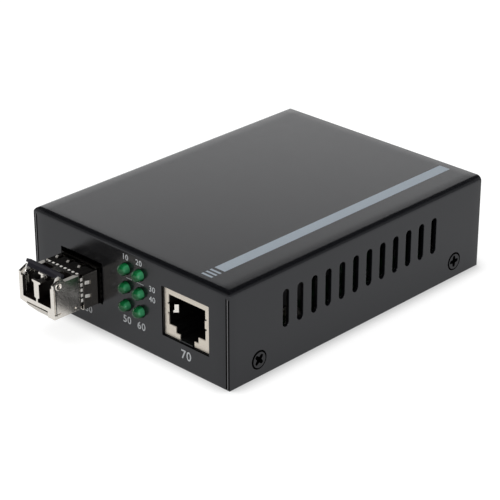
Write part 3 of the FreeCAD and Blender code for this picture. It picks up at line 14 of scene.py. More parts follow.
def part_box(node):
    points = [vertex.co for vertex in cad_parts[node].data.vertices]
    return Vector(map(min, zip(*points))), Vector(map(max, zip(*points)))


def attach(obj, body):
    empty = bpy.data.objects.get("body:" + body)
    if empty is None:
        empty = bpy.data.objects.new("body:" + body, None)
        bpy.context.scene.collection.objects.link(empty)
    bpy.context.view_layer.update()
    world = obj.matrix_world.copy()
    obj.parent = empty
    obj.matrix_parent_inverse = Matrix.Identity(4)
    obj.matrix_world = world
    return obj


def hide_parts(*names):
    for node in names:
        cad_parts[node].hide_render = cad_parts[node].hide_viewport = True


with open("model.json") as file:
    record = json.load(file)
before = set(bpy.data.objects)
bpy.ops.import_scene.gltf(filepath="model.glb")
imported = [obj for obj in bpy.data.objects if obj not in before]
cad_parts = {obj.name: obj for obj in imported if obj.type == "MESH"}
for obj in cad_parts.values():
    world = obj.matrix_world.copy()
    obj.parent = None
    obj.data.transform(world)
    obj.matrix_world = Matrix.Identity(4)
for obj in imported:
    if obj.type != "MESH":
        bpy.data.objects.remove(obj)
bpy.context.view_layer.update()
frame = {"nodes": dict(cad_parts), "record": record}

MM = 0.001

# The boxes of the CAD nodes that finishes and trim are placed by.
CASE_LOW, CASE_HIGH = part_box("top_cover")
SHIELD_LOW, SHIELD_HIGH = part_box("rj45_shield")
CAGE_LOW, CAGE_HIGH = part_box("sfp_cage")
NOSE_LOW, NOSE_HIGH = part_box("module_housing")
FINGERS_LOW, FINGERS_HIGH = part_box("module_spring_collar")
GRIP_LOW, GRIP_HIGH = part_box("bale_handle")
AXLE_LOW, AXLE_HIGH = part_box("bale_axle")
SCREWS_LOW, SCREWS_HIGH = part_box("cover_screws")

FRONT = CASE_LOW[1]
CASE_TOP = CASE_HIGH[2]
SHIELD_MIDDLE = (SHIELD_LOW[0] + SHIELD_HIGH[0]) / 2
CAGE_MOUTH = CAGE_LOW[1]
NOSE_FACE = NOSE_LOW[1]
NOSE_MIDDLE = (NOSE_LOW[0] + NOSE_HIGH[0]) / 2

# ---------------------------------------------------------------- camera

CAMERA_PLACE = Vector((0.318764, -0.333464, 0.233260))
CAMERA_BACK = Vector((0.6258, -0.6462, 0.4369)).normalized()
SENSOR_WIDTH = 36.0
FOCAL_LENGTH = 138.553


def add_camera():
    data = bpy.data.cameras.new("camera")
    data.sensor_width = SENSOR_WIDTH
    data.lens = FOCAL_LENGTH
    data.clip_start = 10 * MM
    right = Vector((0, 0, 1)).cross(CAMERA_BACK).normalized()
    up = CAMERA_BACK.cross(right)
    camera = bpy.data.objects.new("camera", data)
    bpy.context.scene.collection.objects.link(camera)
    turn = Matrix((right, up, CAMERA_BACK)).transposed()
    camera.matrix_world = Matrix.Translation(CAMERA_PLACE) @ turn.to_4x4()
    bpy.context.scene.camera = camera


# ---------------------------------------------------------------- finishes

CASE_ROUND = 0.2 * MM
SMALL_ROUND = 0.06 * MM

# Most of a noise pattern's values lie between these two.
NOISE_LOW = 0.3
NOISE_HIGH = 0.7


def fill_ramp(ramp, stops):
    """Puts the stops, each a position and a colour, on a new colour ramp."""
    elements = ramp.elements
    for element, (position, colour) in zip((elements[0], elements[-1]), (stops[0], stops[-1])):
        element.position = position
        element.color = (*colour, 1.0)
    for position, colour in stops[1:-1]:
        elements.new(position).color = (*colour, 1.0)


def calculate(tree, operation, first, second=None):
    """A Math node in the tree, on numbers or on other nodes' outputs."""
    node = tree.nodes.new("ShaderNodeMath")
    node.operation = operation
    for socket, value in zip(node.inputs, (first, second)):
        if isinstance(value, float):
            socket.default_value = value
        elif value is not None:
            tree.links.new(value, socket)
    return node.outputs["Value"]


class Finish:
    """One material: a Principled shader, and the patterns that vary its colour, roughness and relief."""

    def __init__(self, name, colour, roughness, metallic=0.0):
        self.material = bpy.data.materials.new(name)
        self.material.use_nodes = True
        self.tree = self.material.node_tree
        self.nodes = self.tree.nodes
        self.links = self.tree.links
        self.shader = self.nodes["Principled BSDF"]
        self.set("Base Color", (*colour, 1.0))
        self.set("Roughness", roughness)
        self.set("Metallic", metallic)
        self.place = self.nodes.new("ShaderNodeTexCoord").outputs["Object"]
        self.relief = None

    def set(self, socket, value):
        self.shader.inputs[socket].default_value = value

    def stretched(self, stretch):
        mapping = self.nodes.new("ShaderNodeMapping")
        mapping.inputs["Scale"].default_value = stretch
        self.links.new(self.place, mapping.inputs["Vector"])
        return mapping.outputs["Vector"]

    def noise(self, size, detail=3.0, stretch=(1, 1, 1)):
        """Noise whose lumps are about this many metres across."""
        node = self.nodes.new("ShaderNodeTexNoise")
        node.inputs["Scale"].default_value = 1.0 / size
        node.inputs["Detail"].default_value = detail
        self.links.new(self.stretched(stretch), node.inputs["Vector"])
        return node.outputs["Fac"]

    def cells(self, size, stretch):
        """Rounded cells of about this size, brightest between them."""
        node = self.nodes.new("ShaderNodeTexVoronoi")
        node.inputs["Scale"].default_value = 1.0 / size
        self.links.new(self.stretched(stretch), node.inputs["Vector"])
        return node.outputs["Distance"]

    def slope(self, weights):
        """A value that grows across the piece: its place in its own box, from 0 to 1, times the weights."""
        place = self.nodes.new("ShaderNodeTexCoord").outputs["Generated"]
        node = self.nodes.new("ShaderNodeVectorMath")
        node.operation = "DOT_PRODUCT"
        node.inputs[1].default_value = weights
        self.links.new(place, node.inputs[0])
        return node.outputs["Value"]

    def folded_edges(self, folds):
        """A sheet's slight fall towards its folds, as a height in metres.

        Each fold is given by its axis, its distance from the middle, the fall's width and its steepest slope.
        """
        split = self.nodes.new("ShaderNodeSeparateXYZ")
        self.links.new(self.place, split.inputs["Vector"])
        height = None
        for axis, half, width, slope in folds:
            side = calculate(self.tree, "ABSOLUTE", split.outputs[axis])
            into = calculate(self.tree, "SUBTRACT", side, half - width)
            past = calculate(self.tree, "MAXIMUM", into, 0.0)
            square = calculate(self.tree, "MULTIPLY", past, past)
            fall = calculate(self.tree, "MULTIPLY", square, -slope / (2 * width))
            height = fall if height is None else calculate(self.tree, "ADD", height, fall)
        return height

    def colours(self, source, stops):
        ramp = self.nodes.new("ShaderNodeValToRGB")
        fill_ramp(ramp.color_ramp, stops)
        self.links.new(source, ramp.inputs["Fac"])
        self.links.new(ramp.outputs["Color"], self.shader.inputs["Base Color"])

    def roughness(self, source, low, high):
        """Makes the roughness follow a noise pattern, from low to high."""
        node = self.nodes.new("ShaderNodeMapRange")
        node.inputs["From Min"].default_value = NOISE_LOW
        node.inputs["From Max"].default_value = NOISE_HIGH
        node.inputs["To Min"].default_value = low
        node.inputs["To Max"].default_value = high
        self.links.new(source, node.inputs["Value"])
        self.links.new(node.outputs["Result"], self.shader.inputs["Roughness"])

    def bump(self, source, depth):
        node = self.nodes.new("ShaderNodeBump")
        node.inputs["Distance"].default_value = depth
        self.links.new(source, node.inputs["Height"])
        if self.relief:
            self.links.new(self.relief, node.inputs["Normal"])
        self.relief = node.outputs["Normal"]
        self.links.new(self.relief, self.shader.inputs["Normal"])

    def round_edges(self, radius):
        node = self.nodes.new("ShaderNodeBevel")
        node.samples = 8
        node.inputs["Radius"].default_value = radius
        self.relief = node.outputs["Normal"]
        self.links.new(self.relief, self.shader.inputs["Normal"])


def around(colour, amount):
    """Ramp stops: a darker colour, the colour itself and a lighter one."""
    darker = tuple(value * (1 - amount) for value in colour)
    lighter = tuple(min(value * (1 + amount), 1.0) for value in colour)
    return ((NOISE_LOW, darker), (0.5, colour), (NOISE_HIGH, lighter))


def powder_coat():
    """Black semi-gloss coat with a fine grain, on sheet that falls a little towards its folds."""
    colour = (0.0042, 0.0044, 0.0056)
    finish = Finish("case_paint", colour, 0.22)
    finish.set("Specular Tint", (0.93, 0.95, 1.0, 1.0))
    finish.round_edges(CASE_ROUND)
    grain = finish.noise(0.4 * MM)
    finish.colours(grain, around(colour, 0.3))
    finish.roughness(finish.noise(3 * MM), 0.2, 0.24)
    folds = (("X", CASE_HIGH[0], 4.5 * MM, 0.09), ("Y", CASE_HIGH[1], 3 * MM, 0.05))
    finish.bump(finish.folded_edges(folds), 1.0)
    finish.bump(grain, 0.012 * MM)
    return finish


def plated(name, colour, rough, grain_size, depth, stretch=(1, 1, 1), amount=0.12, metallic=1.0):
    """Plated or cast metal with a fine grain."""
    finish = Finish(name, colour, rough, metallic)
    finish.round_edges(SMALL_ROUND)
    grain = finish.noise(grain_size, detail=4, stretch=stretch)
    finish.colours(grain, around(colour, amount))
    finish.roughness(finish.noise(grain_size * 4, stretch=stretch), rough * 0.8, rough * 1.25)
    finish.bump(grain, depth)
    return finish


def moulded(name, colour, rough, depth=0.008 * MM, gloss=0.5):
    """Moulded plastic with a faint grain."""
    grain_size = 0.25 * MM
    finish = Finish(name, colour, rough)
    finish.set("Specular IOR Level", gloss)
    finish.round_edges(SMALL_ROUND)
    grain = finish.noise(grain_size, detail=2)
    finish.colours(grain, around(colour, 0.2))
    finish.roughness(finish.noise(grain_size * 8), rough * 0.85, rough * 1.15)
    finish.bump(grain, depth)
    return finish


def lamp_lens():
    """Green tinted epoxy, deep in its body, with a painted grey-green reflection low on the left and a
    painted highlight along its right flank.
    """
    finish = Finish("lamp_green", (0.01, 0.2, 0.06), 0.1)
    finish.set("Transmission Weight", 0.25)
    finish.set("IOR", 1.52)
    finish.set("Specular IOR Level", 0.25)
    # The ramp across the lens paints its light: a grey-green reflection low on the left and a light highlight
    # high on its right flank.
    finish.colours(finish.slope((0.72, 0.0, 0.3)), (
        (0.15, (0.03, 0.09, 0.05)),
        (0.36, (0.004, 0.075, 0.025)),
        (0.64, (0.003, 0.11, 0.03)),
        (0.73, (0.006, 0.17, 0.045)),
        (0.78, (0.06, 0.4, 0.17)),
    ))
    return finish


def solder_mask():
    """Green lacquer over faint copper tracks."""
    finish = Finish("board_laminate", (0.006, 0.04, 0.015), 0.35)
    tracks = finish.cells(1.6 * MM, (1, 0.25, 1))
    finish.colours(tracks, (
        (0.0, (0.002, 0.01, 0.004)),
        (0.45, (0.003, 0.018, 0.007)),
        (0.6, (0.006, 0.03, 0.011)),
    ))
    finish.bump(tracks, 0.02 * MM)
    return finish


def printed(name, colour):
    """Screen-printed ink, slightly mottled."""
    finish = Finish(name, colour, 0.45)
    finish.colours(finish.noise(0.3 * MM), around(colour, 0.06))
    return finish


# The finish of each material slot: a metal by its colour, roughness, grain size and grain depth,
# and a plastic by its colour and roughness.
FINISHES = {
    "case_paint": powder_coat(),
    "screw_black": plated("screw_black", (0.05, 0.05, 0.053), 0.3, 0.2 * MM, 0.002 * MM),
    "post_steel": plated("post_steel", (0.62, 0.6, 0.55), 0.3, 0.3 * MM, 0.002 * MM),
    "board_laminate": solder_mask(),
    "socket_shield": plated(
        "socket_shield", (0.85, 0.78, 0.68), 0.42, 0.12 * MM, 0.006 * MM, metallic=0.6,
    ),
    "socket_plastic": moulded("socket_plastic", (0.003, 0.003, 0.003), 0.6, gloss=0.12),
    "contact_gold": plated("contact_gold", (0.85, 0.62, 0.26), 0.22, 0.2 * MM, 0.002 * MM),
    "lamp_green": lamp_lens(),
    "holder_black": moulded("holder_black", (0.004, 0.004, 0.004), 0.6, gloss=0.2),
    "lead_tin": plated("lead_tin", (0.72, 0.72, 0.7), 0.25, 0.2 * MM, 0.002 * MM),
    "cage_steel": plated("cage_steel", (0.46, 0.43, 0.39), 0.13, 0.3 * MM, 0.0012 * MM),
    "jack_plastic": moulded("jack_plastic", (0.012, 0.012, 0.013), 0.4),
    "chip_epoxy": moulded("chip_epoxy", (0.01, 0.01, 0.011), 0.5),
    "can_aluminium": plated("can_aluminium", (0.72, 0.73, 0.74), 0.22, 0.3 * MM, 0.003 * MM),
    "ferrite": moulded("ferrite", (0.03, 0.03, 0.031), 0.6, depth=0.02 * MM),
    "module_zinc": plated(
        "module_zinc", (0.86, 0.82, 0.76), 0.2, 0.14 * MM, 0.0016 * MM, amount=0.09,
    ),
    "module_steel": plated(
        "module_steel", (0.66, 0.63, 0.58), 0.2, 0.12 * MM, 0.001 * MM, stretch=(1, 0.06, 1),
    ),
    "optic_ceramic": moulded("optic_ceramic", (0.8, 0.8, 0.76), 0.2),
    "handle_black": moulded("handle_black", (0.007, 0.006, 0.012), 0.42),
}
# Near-black steel, as painted shade on the cage's sprung collar in the gap behind the panel.
COLLAR_PAINTED_SHADE = plated("collar_steel_painted_shade", (0.02, 0.019, 0.018), 0.3, 0.3 * MM, 0.001 * MM)
# Near-black for painted shade inside the nose's ports and the handle's well.
INSIDE_SHADE = moulded("painted_inside_shade", (0.006, 0.004, 0.0035), 0.35, gloss=0.25)
# Bright, partly diffuse plating: the handle's plated arms, and painted highlights on the cage's side tabs and
# the spring fingers' tips.
SATIN_AND_PAINTED_HIGHLIGHT = plated("satin_plating_and_painted_highlight", (0.86, 0.84, 0.8), 0.4, 0.2 * MM, 0.001 * MM, metallic=0.25)
# Near-white, as a painted highlight on the bends of the socket's side springs.
SPRING_BEND_HIGHLIGHT = plated("spring_bend_painted_highlight", (0.95, 0.92, 0.86), 0.3, 0.2 * MM, 0.001 * MM, amount=0.04)
# A lighter, partly diffuse copy of the steel for painted highlights: on the cage's top tabs and on the flat
# ends of the nose's roof.
PAINTED_HIGHLIGHT_STEEL = plated("top_tab", (0.5, 0.48, 0.45), 0.4, 0.2 * MM, 0.001 * MM, metallic=0.4)
# Near-black steel, as painted shade on the module's spring fingers in the gap before the cage.
FINGER_PAINTED_SHADE = plated("finger_steel_painted_shade", (0.03, 0.028, 0.026), 0.3, 0.2 * MM, 0.001 * MM)
# Near-black for painted shade: in gaps, seams, screw recesses and on the socket's springs where they run back
# into the shade.
SHADE_BLACK = moulded("painted_shade_black", (0.001, 0.001, 0.001), 0.9, gloss=0.0)
# Mid grey on flat strips: a painted highlight on the sheet edge down the front's corners, and the grey lip
# below the socket's notch.
PAINTED_EDGE_GREY = plated("painted_edge_grey", (0.16, 0.16, 0.165), 0.45, 0.2 * MM, 0.001 * MM, metallic=0.0)
BAND_INK = printed("band_ink", (0.27, 0.315, 0.36))
MARK_INK = printed("mark_ink", (0.62, 0.64, 0.66))


def dress_nodes():
    """Gives every CAD node the finish of its material slot."""
    for part in frame["record"]["subparts"]:
        node = frame["nodes"][part["node"]]
        node.data.materials.clear()
        node.data.materials.append(FINISHES[part["material_slot"]].material)


def dress_faces(node_name, finish, test):
    """Gives the faces of a CAD node that pass the test another finish."""
    mesh = frame["nodes"][node_name].data
    mesh.materials.append(finish.material)
    slot = len(mesh.materials) - 1
    for face in mesh.polygons:
        if test(face.center, face.normal):
            face.material_index = slot


# The nose's ports, the handle's well above them, the bridge over the well, the flat ends of the roof
# beside the well, and the handle's arms. Widths are from the nose's middle and depths from its face.
PORT_HALF_WIDTH = 5.95 * MM
PORT_LIP = 0.2 * MM
PORT_DEPTH = 8.1 * MM
PORT_FLOOR = 10.85 * MM
PORT_ROOF = 16.6 * MM
WELL_FLOOR = 16.4 * MM
WELL_ROOF = 17.45 * MM
BRIDGE_HALF_WIDTH = 1.95 * MM
BRIDGE_FRONT = 2.15 * MM
BRIDGE_BACK = 2.75 * MM
ROOF_LEVEL = 17.4 * MM
ROOF_END_INNER = 5.4 * MM
ROOF_END_OUTER = 6.6 * MM
ROOF_END_FRONT = 4.1 * MM
ROOF_END_BACK = 8.2 * MM
ARM_INNER = 5.3 * MM
ARM_OUTER = 5.85 * MM
ARM_TOP = 18.9 * MM

# How far a face's normal leans: to the side on a side wall, and up on a flat top.
SIDEWAYS = 0.5
UPWARDS = 0.9


def in_openings(centre, normal):
    """Whether a face of the nose is inside a port or the well, and isn't the bridge's."""
    across = abs(centre.x - NOSE_MIDDLE)
    behind = centre.y - NOSE_FACE
    over_ports = centre.z > PORT_ROOF and across < BRIDGE_HALF_WIDTH
    bridge = over_ports and BRIDGE_FRONT < behind < BRIDGE_BACK
    well = WELL_FLOOR < centre.z < WELL_ROOF and abs(normal.x) < SIDEWAYS
    port = PORT_FLOOR < centre.z < PORT_ROOF
    reached = across < PORT_HALF_WIDTH and PORT_LIP < behind < PORT_DEPTH
    return reached and (well or port) and not bridge


def at_roof_end(centre, normal):
    """Whether a face is on the flat ends of the nose's roof, beside the well."""
    across = abs(centre.x - NOSE_MIDDLE)
    behind = centre.y - NOSE_FACE
    on_roof = normal.z > UPWARDS and centre.z > ROOF_LEVEL
    at_end = ROOF_END_INNER < across < ROOF_END_OUTER
    return on_roof and at_end and ROOF_END_FRONT < behind < ROOF_END_BACK


def on_arm(centre, _normal):
    """Whether a face is on one of the handle's two arms."""
    return ARM_INNER < abs(centre.x - NOSE_MIDDLE) < ARM_OUTER and centre.z < ARM_TOP


def dress_module():
    """Painted shade inside the ports and the well and on the sprung collars, a painted highlight on the flat
    ends of the roof, and plated arms on the handle.
    """
    # Painted shade: near-black over the faces inside the ports and the well.
    dress_faces("module_housing", INSIDE_SHADE, in_openings)
    # Painted highlight: the flat ends of the roof get the lighter steel where light falls on them.
    dress_faces("module_housing", PAINTED_HIGHLIGHT_STEEL, at_roof_end)
    dress_faces("bale_handle", SATIN_AND_PAINTED_HIGHLIGHT, on_arm)
    # Painted shade: both sprung collars are near-black.
    frame["nodes"]["module_spring_collar"].data.materials[0] = FINGER_PAINTED_SHADE.material
    frame["nodes"]["cage_spring_collar"].data.materials[0] = COLLAR_PAINTED_SHADE.material


# The copper socket's side springs. Widths are from its middle and depths from its face.
SPRING_INNER = 5.7 * MM
SPRING_OUTER = 6.4 * MM
SPRING_FRONT = 0.4 * MM
SPRING_BACK = 4.2 * MM
SPRING_LOW = 13.6 * MM
SPRING_HIGH = 16.0 * MM


def on_side_spring(centre, _normal):
    """Whether a face is on one of the copper socket's side springs."""
    across = abs(centre.x - SHIELD_MIDDLE)
    behind = centre.y - SHIELD_LOW[1]
    at_height = SPRING_LOW < centre.z < SPRING_HIGH
    off_wall = SPRING_INNER < across < SPRING_OUTER
    return at_height and off_wall and SPRING_FRONT < behind < SPRING_BACK


def dress_socket():
    """Black on the copper socket's side springs, where they run back into the shade."""
    dress_faces("rj45_shield", SHADE_BLACK, on_side_spring)


# ---------------------------------------------------------------- new pieces


def add_piece(name, mesh, finish, body):
    piece = bpy.data.objects.new(name, mesh)
    bpy.context.scene.collection.objects.link(piece)
    mesh.materials.append(finish.material)
    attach(piece, body)
    return piece


def joined_mesh(name, parts):
    """One mesh from several parts, each given by its corners and its faces."""
    corners, faces = [], []
    for part_corners, part_faces in parts:
        start = len(corners)
        corners += part_corners
        faces += [tuple(start + index for index in face) for face in part_faces]
    mesh = bpy.data.meshes.new(name)
    mesh.from_pydata(corners, [], faces)
    return mesh


def flat_mesh(name, outlines):
    """Flat faces, each given by its corners in order."""
    return joined_mesh(name, [(outline, [tuple(range(len(outline)))]) for outline in outlines])


INK_RISE = 0.012 * MM


def on_top(left, right, near, far, height):
    z = height + INK_RISE
    return ((left, near, z), (right, near, z), (right, far, z), (left, far, z))


def on_front(left, right, low, high, place):
    y = place - INK_RISE
    return ((left, y, low), (right, y, low), (right, y, high), (left, y, high))


def on_side(near, far, low, high, x):
    return ((x, near, low), (x, far, low), (x, far, high), (x, near, high))


def angles(steps):
    return [2 * math.pi * step / steps for step in range(steps)]


def circle(place, radius, steps):
    """The corners of a circle round a line along X through the place."""
    return [
        (place[0], place[1] + radius * math.cos(angle), place[2] + radius * math.sin(angle))
        for angle in angles(steps)
    ]


def faces_between(rings, steps):
    """The faces that join rings of corners in order, each ring with this many corners."""
    faces = []
    for ring in range(rings - 1):
        low, high = ring * steps, (ring + 1) * steps
        for step in range(steps):
            after = (step + 1) % steps
            faces.append((low + step, low + after, high + after, high + step))
    return faces


def turned_across(place, profile, steps=24):
    """A shape turned about a line along X through the place: its corners and faces.

    The profile is the shape's radii and its distances along X.
    """
    corners = []
    for radius, along in profile:
        corners += circle((place[0] + along, place[1], place[2]), radius, steps)
    return corners, faces_between(len(profile), steps)


# Corners closer than this are one corner.
SAME_PLACE = 1e-7


def turned_mesh(name, middle, profile, steps=36):
    """A smooth mesh turned about a line along Y through the middle, from its radii and places along Y."""
    corners = [
        (middle[0] + radius * math.cos(angle), along, middle[1] + radius * math.sin(angle))
        for radius, along in profile
        for angle in angles(steps)
    ]
    faces = faces_between(len(profile), steps)
    faces.append(tuple(range(len(corners) - steps, len(corners))))
    mesh = joined_mesh(name, [(corners, faces)])
    bm = bmesh.new()
    bm.from_mesh(mesh)
    bmesh.ops.remove_doubles(bm, verts=bm.verts, dist=SAME_PLACE)
    bmesh.ops.recalc_face_normals(bm, faces=bm.faces)
    bm.to_mesh(mesh)
    bm.free()
    for face in mesh.polygons:
        flat_end = len(face.vertices) > 4
        face.use_smooth = not flat_end
    return mesh


# The built-in font's figures: their height as a share of its size, and how wide and how bold they are set.
FIGURE_HEIGHT = 0.7
FIGURE_SPACING = 1.1
FIGURE_BOLDNESS = 0.02


def figures(text, middle, foot, height, place):
    """A number printed on the front: its corners and faces, from the plain built-in font."""
    curve = bpy.data.curves.new("figures", "FONT")
    curve.body = text
    curve.align_x = "CENTER"
    curve.size = height / FIGURE_HEIGHT
    curve.space_character = FIGURE_SPACING
    curve.offset = FIGURE_BOLDNESS * height
    holder = bpy.data.objects.new("figures", curve)
    flat = bpy.data.meshes.new_from_object(holder)
    corners = [(middle + v.co.x, place - INK_RISE, foot + v.co.y) for v in flat.vertices]
    faces = [tuple(face.vertices) for face in flat.polygons]
    bpy.data.objects.remove(holder)
    bpy.data.meshes.remove(flat)
    return corners, faces


BAND_LEFT = 23.1 * MM
BAND_RIGHT = 26.6 * MM
BAND_NEAR = -40.5 * MM
BAND_FAR = 45.6 * MM
STRIPES = 3
STRIPES_NEAR = -45.0 * MM
STRIPE_PITCH = 1.4 * MM
STRIPE_WIDTH = 0.7 * MM

# Each number on the front: its text, and its middle, its foot and its height in millimetres.
NUMBERS = (
    ("10", -0.7, 23.1, 1.5),
    ("20", 4.2, 23.1, 1.5),
    ("30", 8.8, 17.4, 1.5),
    ("40", 8.8, 14.6, 1.5),
    ("50", -0.6, 5.4, 2.0),
    ("60", 4.6, 5.4, 2.0),
    ("70", 20.55, 3.0, 2.4),
    ("80", -15.3, 3.2, 1.9),
)
LEADER_LEFT = -0.5 * MM
LEADER_RIGHT = 5.9 * MM
LEADER_LOW = 18.15 * MM
LEADER_HIGH = 18.3 * MM


def printed_marks():
    """A long band and three stripes on the top, and plain numbers beside the lamps and the sockets."""
    band = [on_top(BAND_LEFT, BAND_RIGHT, BAND_NEAR, BAND_FAR, CASE_TOP)]
    for stripe in range(STRIPES):
        near = STRIPES_NEAR + STRIPE_PITCH * stripe
        band.append(on_top(BAND_LEFT, BAND_RIGHT, near, near + STRIPE_WIDTH, CASE_TOP))
    add_piece("top_band", flat_mesh("top_band", band), BAND_INK, "case")
    parts = [
        figures(text, middle * MM, foot * MM, height * MM, FRONT)
        for text, middle, foot, height in NUMBERS
    ]
    leader = on_front(LEADER_LEFT, LEADER_RIGHT, LEADER_LOW, LEADER_HIGH, FRONT)
    parts.append((leader, [(0, 1, 2, 3)]))
    add_piece("front_marks", joined_mesh("front_marks", parts), MARK_INK, "case")


LENS_RADIUS = 1.5 * MM
LENS_SHOULDER = 4.6 * MM
FLANGE_THICKNESS = 0.8 * MM
DOME_STEPS = 12


def lamp_lenses():
    """Each lamp's lens: a smooth dome on a barrel, with the flange behind the panel."""
    for side in ("left", "right"):
        for row in ("bottom", "middle", "top"):
            node = f"led_{side}_{row}"
            low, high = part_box(node)
            middle = ((low[0] + high[0]) / 2, (low[2] + high[2]) / 2)
            flange = (high[0] - low[0]) / 2
            shoulder = low[1] + LENS_SHOULDER
            profile = []
            for step in range(DOME_STEPS + 1):
                angle = math.pi / 2 * step / DOME_STEPS
                along = low[1] + LENS_RADIUS * (1 - math.cos(angle))
                profile.append((LENS_RADIUS * math.sin(angle), along))
            profile += [
                (LENS_RADIUS, shoulder),
                (flange, shoulder),
                (flange, shoulder + FLANGE_THICKNESS),
                (LENS_RADIUS, shoulder + FLANGE_THICKNESS),
                (LENS_RADIUS, high[1]),
            ]
            mesh = turned_mesh("lens", middle, profile)
            lens = add_piece(f"lens_{side}_{row}", mesh, FINISHES["lamp_green"], "case")
            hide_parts(node)


# A tab's rings of corners, each by its share of the tab's size and of its rise, and how square they are.
TAB_RINGS = ((1.0, 0.0), (0.82, 0.8), (0.5, 1.0))
TAB_SQUARENESS = 0.75


def tab(middle, across, along, rise, up):
    """A small rounded pad: its corners and faces, across and along its face and raised at its middle."""
    steps = 12
    corners = []
    for share, lift in TAB_RINGS:
        for step in range(steps):
            angle = 2 * math.pi * (step + 0.5) / steps
            wide, deep = math.cos(angle), math.sin(angle)
            reach = share / max(abs(wide), abs(deep)) ** TAB_SQUARENESS
            corners.append(tuple(
                m + reach * (wide * a + deep * b) + lift * rise * u
                for m, a, b, u in zip(middle, across, along, up)
            ))
    faces = faces_between(len(TAB_RINGS), steps)
    faces.append(tuple(range(len(corners) - steps, len(corners))))
    return corners, faces


TOP_TABS = 3
TOP_TABS_LEFT = 1.15 * MM
TOP_TAB_PITCH = 4.2 * MM
TOP_TAB_SETBACK = 2.6 * MM
TOP_TAB_ACROSS = (0.36 * MM, 0.1 * MM, 0)
TOP_TAB_ALONG = (-0.3 * MM, 0.5 * MM, 0)
TOP_TAB_RISE = 0.2 * MM
SIDE_TAB_LEVELS = (14.9 * MM, 11.15 * MM)
SIDE_TAB_SETBACK = 1.3 * MM
SIDE_TAB_ACROSS = (0, 0.8 * MM, -0.16 * MM)
SIDE_TAB_ALONG = (0, 0, 0.5 * MM)
SIDE_TAB_RISE = 0.06 * MM


def cage_tab_highlights():
    """The cage's punched tabs, three on top and two on the side, set back from its mouth, as rounded pads in
    lighter finishes: painted highlights.
    """
    upper = []
    for index in range(TOP_TABS):
        across = CAGE_LOW[0] + TOP_TABS_LEFT + TOP_TAB_PITCH * index
        place = (across, CAGE_MOUTH + TOP_TAB_SETBACK, CAGE_HIGH[2])
        upper.append(tab(place, TOP_TAB_ACROSS, TOP_TAB_ALONG, TOP_TAB_RISE, (0, 0, 1)))
    # The top tabs carry painted highlights in the lighter steel.
    add_piece("cage_top_tab_highlights", joined_mesh("cage_top_tab_highlights", upper), PAINTED_HIGHLIGHT_STEEL, "case")
    parts = []
    for level in SIDE_TAB_LEVELS:
        place = (CAGE_HIGH[0], CAGE_MOUTH + SIDE_TAB_SETBACK, level)
        parts.append(tab(place, SIDE_TAB_ACROSS, SIDE_TAB_ALONG, SIDE_TAB_RISE, (1, 0, 0)))
    # The side tabs carry painted highlights in the bright satin finish.
    add_piece("cage_tab_highlights", joined_mesh("cage_tab_highlights", parts), SATIN_AND_PAINTED_HIGHLIGHT, "case")


# The tips of the module's spring fingers, placed from the collar's front, top and right side.
TOP_TIPS = 8
TOP_TIP_PITCH = 1.5 * MM
TOP_TIP_SETBACK = 0.48 * MM
TOP_TIP_LIFT = 0.25 * MM
TOP_TIP_ACROSS = (0.38 * MM, 0, 0)
TOP_TIP_ALONG = (0, 0.34 * MM, 0)
TOP_TIP_RISE = 0.12 * MM
SIDE_TIPS = 5
SIDE_TIP_PITCH = 1.45 * MM
SIDE_TIP_SETBACK = 0.4 * MM
SIDE_TIP_DROP = 0.85 * MM
SIDE_TIP_SUNK = 0.02 * MM
SIDE_TIP_ACROSS = (0, 0.36 * MM, 0)
SIDE_TIP_ALONG = (0, 0, 0.48 * MM)
SIDE_TIP_RISE = 0.05 * MM


def spring_tip_highlights():
    """Painted highlights: bright pads on the tips of the module's spring fingers, in the gap before the cage.
    """
    middle = (FINGERS_LOW[0] + FINGERS_HIGH[0]) / 2
    parts = []
    for index in range(TOP_TIPS):
        across = middle + (index - (TOP_TIPS - 1) / 2) * TOP_TIP_PITCH
        place = (across, FINGERS_LOW[1] + TOP_TIP_SETBACK, FINGERS_HIGH[2] + TOP_TIP_LIFT)
        parts.append(tab(place, TOP_TIP_ACROSS, TOP_TIP_ALONG, TOP_TIP_RISE, (0, 0, 1)))
    for index in range(SIDE_TIPS):
        level = FINGERS_HIGH[2] - SIDE_TIP_DROP - SIDE_TIP_PITCH * index
        place = (FINGERS_HIGH[0] - SIDE_TIP_SUNK, FINGERS_LOW[1] + SIDE_TIP_SETBACK, level)
        parts.append(tab(place, SIDE_TIP_ACROSS, SIDE_TIP_ALONG, SIDE_TIP_RISE, (1, 0, 0)))
    add_piece("spring_tip_highlights", joined_mesh("spring_tip_highlights", parts), SATIN_AND_PAINTED_HIGHLIGHT, "module")


AXLE_PLACE = (AXLE_LOW[1] + AXLE_HIGH[1]) / 2
AXLE_LEVEL = (AXLE_LOW[2] + AXLE_HIGH[2]) / 2
PIN_HEAD_SHARE = 0.7
PIN_EDGE = 0.12 * MM
PIN_NECK = 1.6 * MM
PIN_LENGTH = 1.7 * MM
PIN_TIP_SHARE = 0.8


def axle_ends():
    """The handle's axle as the two pins in its ears, each with a turned-over end."""
    radius = (AXLE_HIGH[2] - AXLE_LOW[2]) / 2
    steps = 24
    parts = []
    for end, inward in ((AXLE_LOW[0], 1), (AXLE_HIGH[0], -1)):
        profile = (
            (PIN_HEAD_SHARE * radius, 0.0),
            (radius, inward * PIN_EDGE),
            (radius, inward * PIN_NECK),
            (PIN_TIP_SHARE * radius, inward * PIN_LENGTH),
        )
        corners, faces = turned_across((end, AXLE_PLACE, AXLE_LEVEL), profile, steps)
        faces += [tuple(range(steps)), tuple(range(len(corners) - steps, len(corners)))]
        parts.append((corners, faces))
    ends = add_piece("axle_ends", joined_mesh("axle_ends", parts), FINISHES["screw_black"], "bale")
    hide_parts("bale_axle")


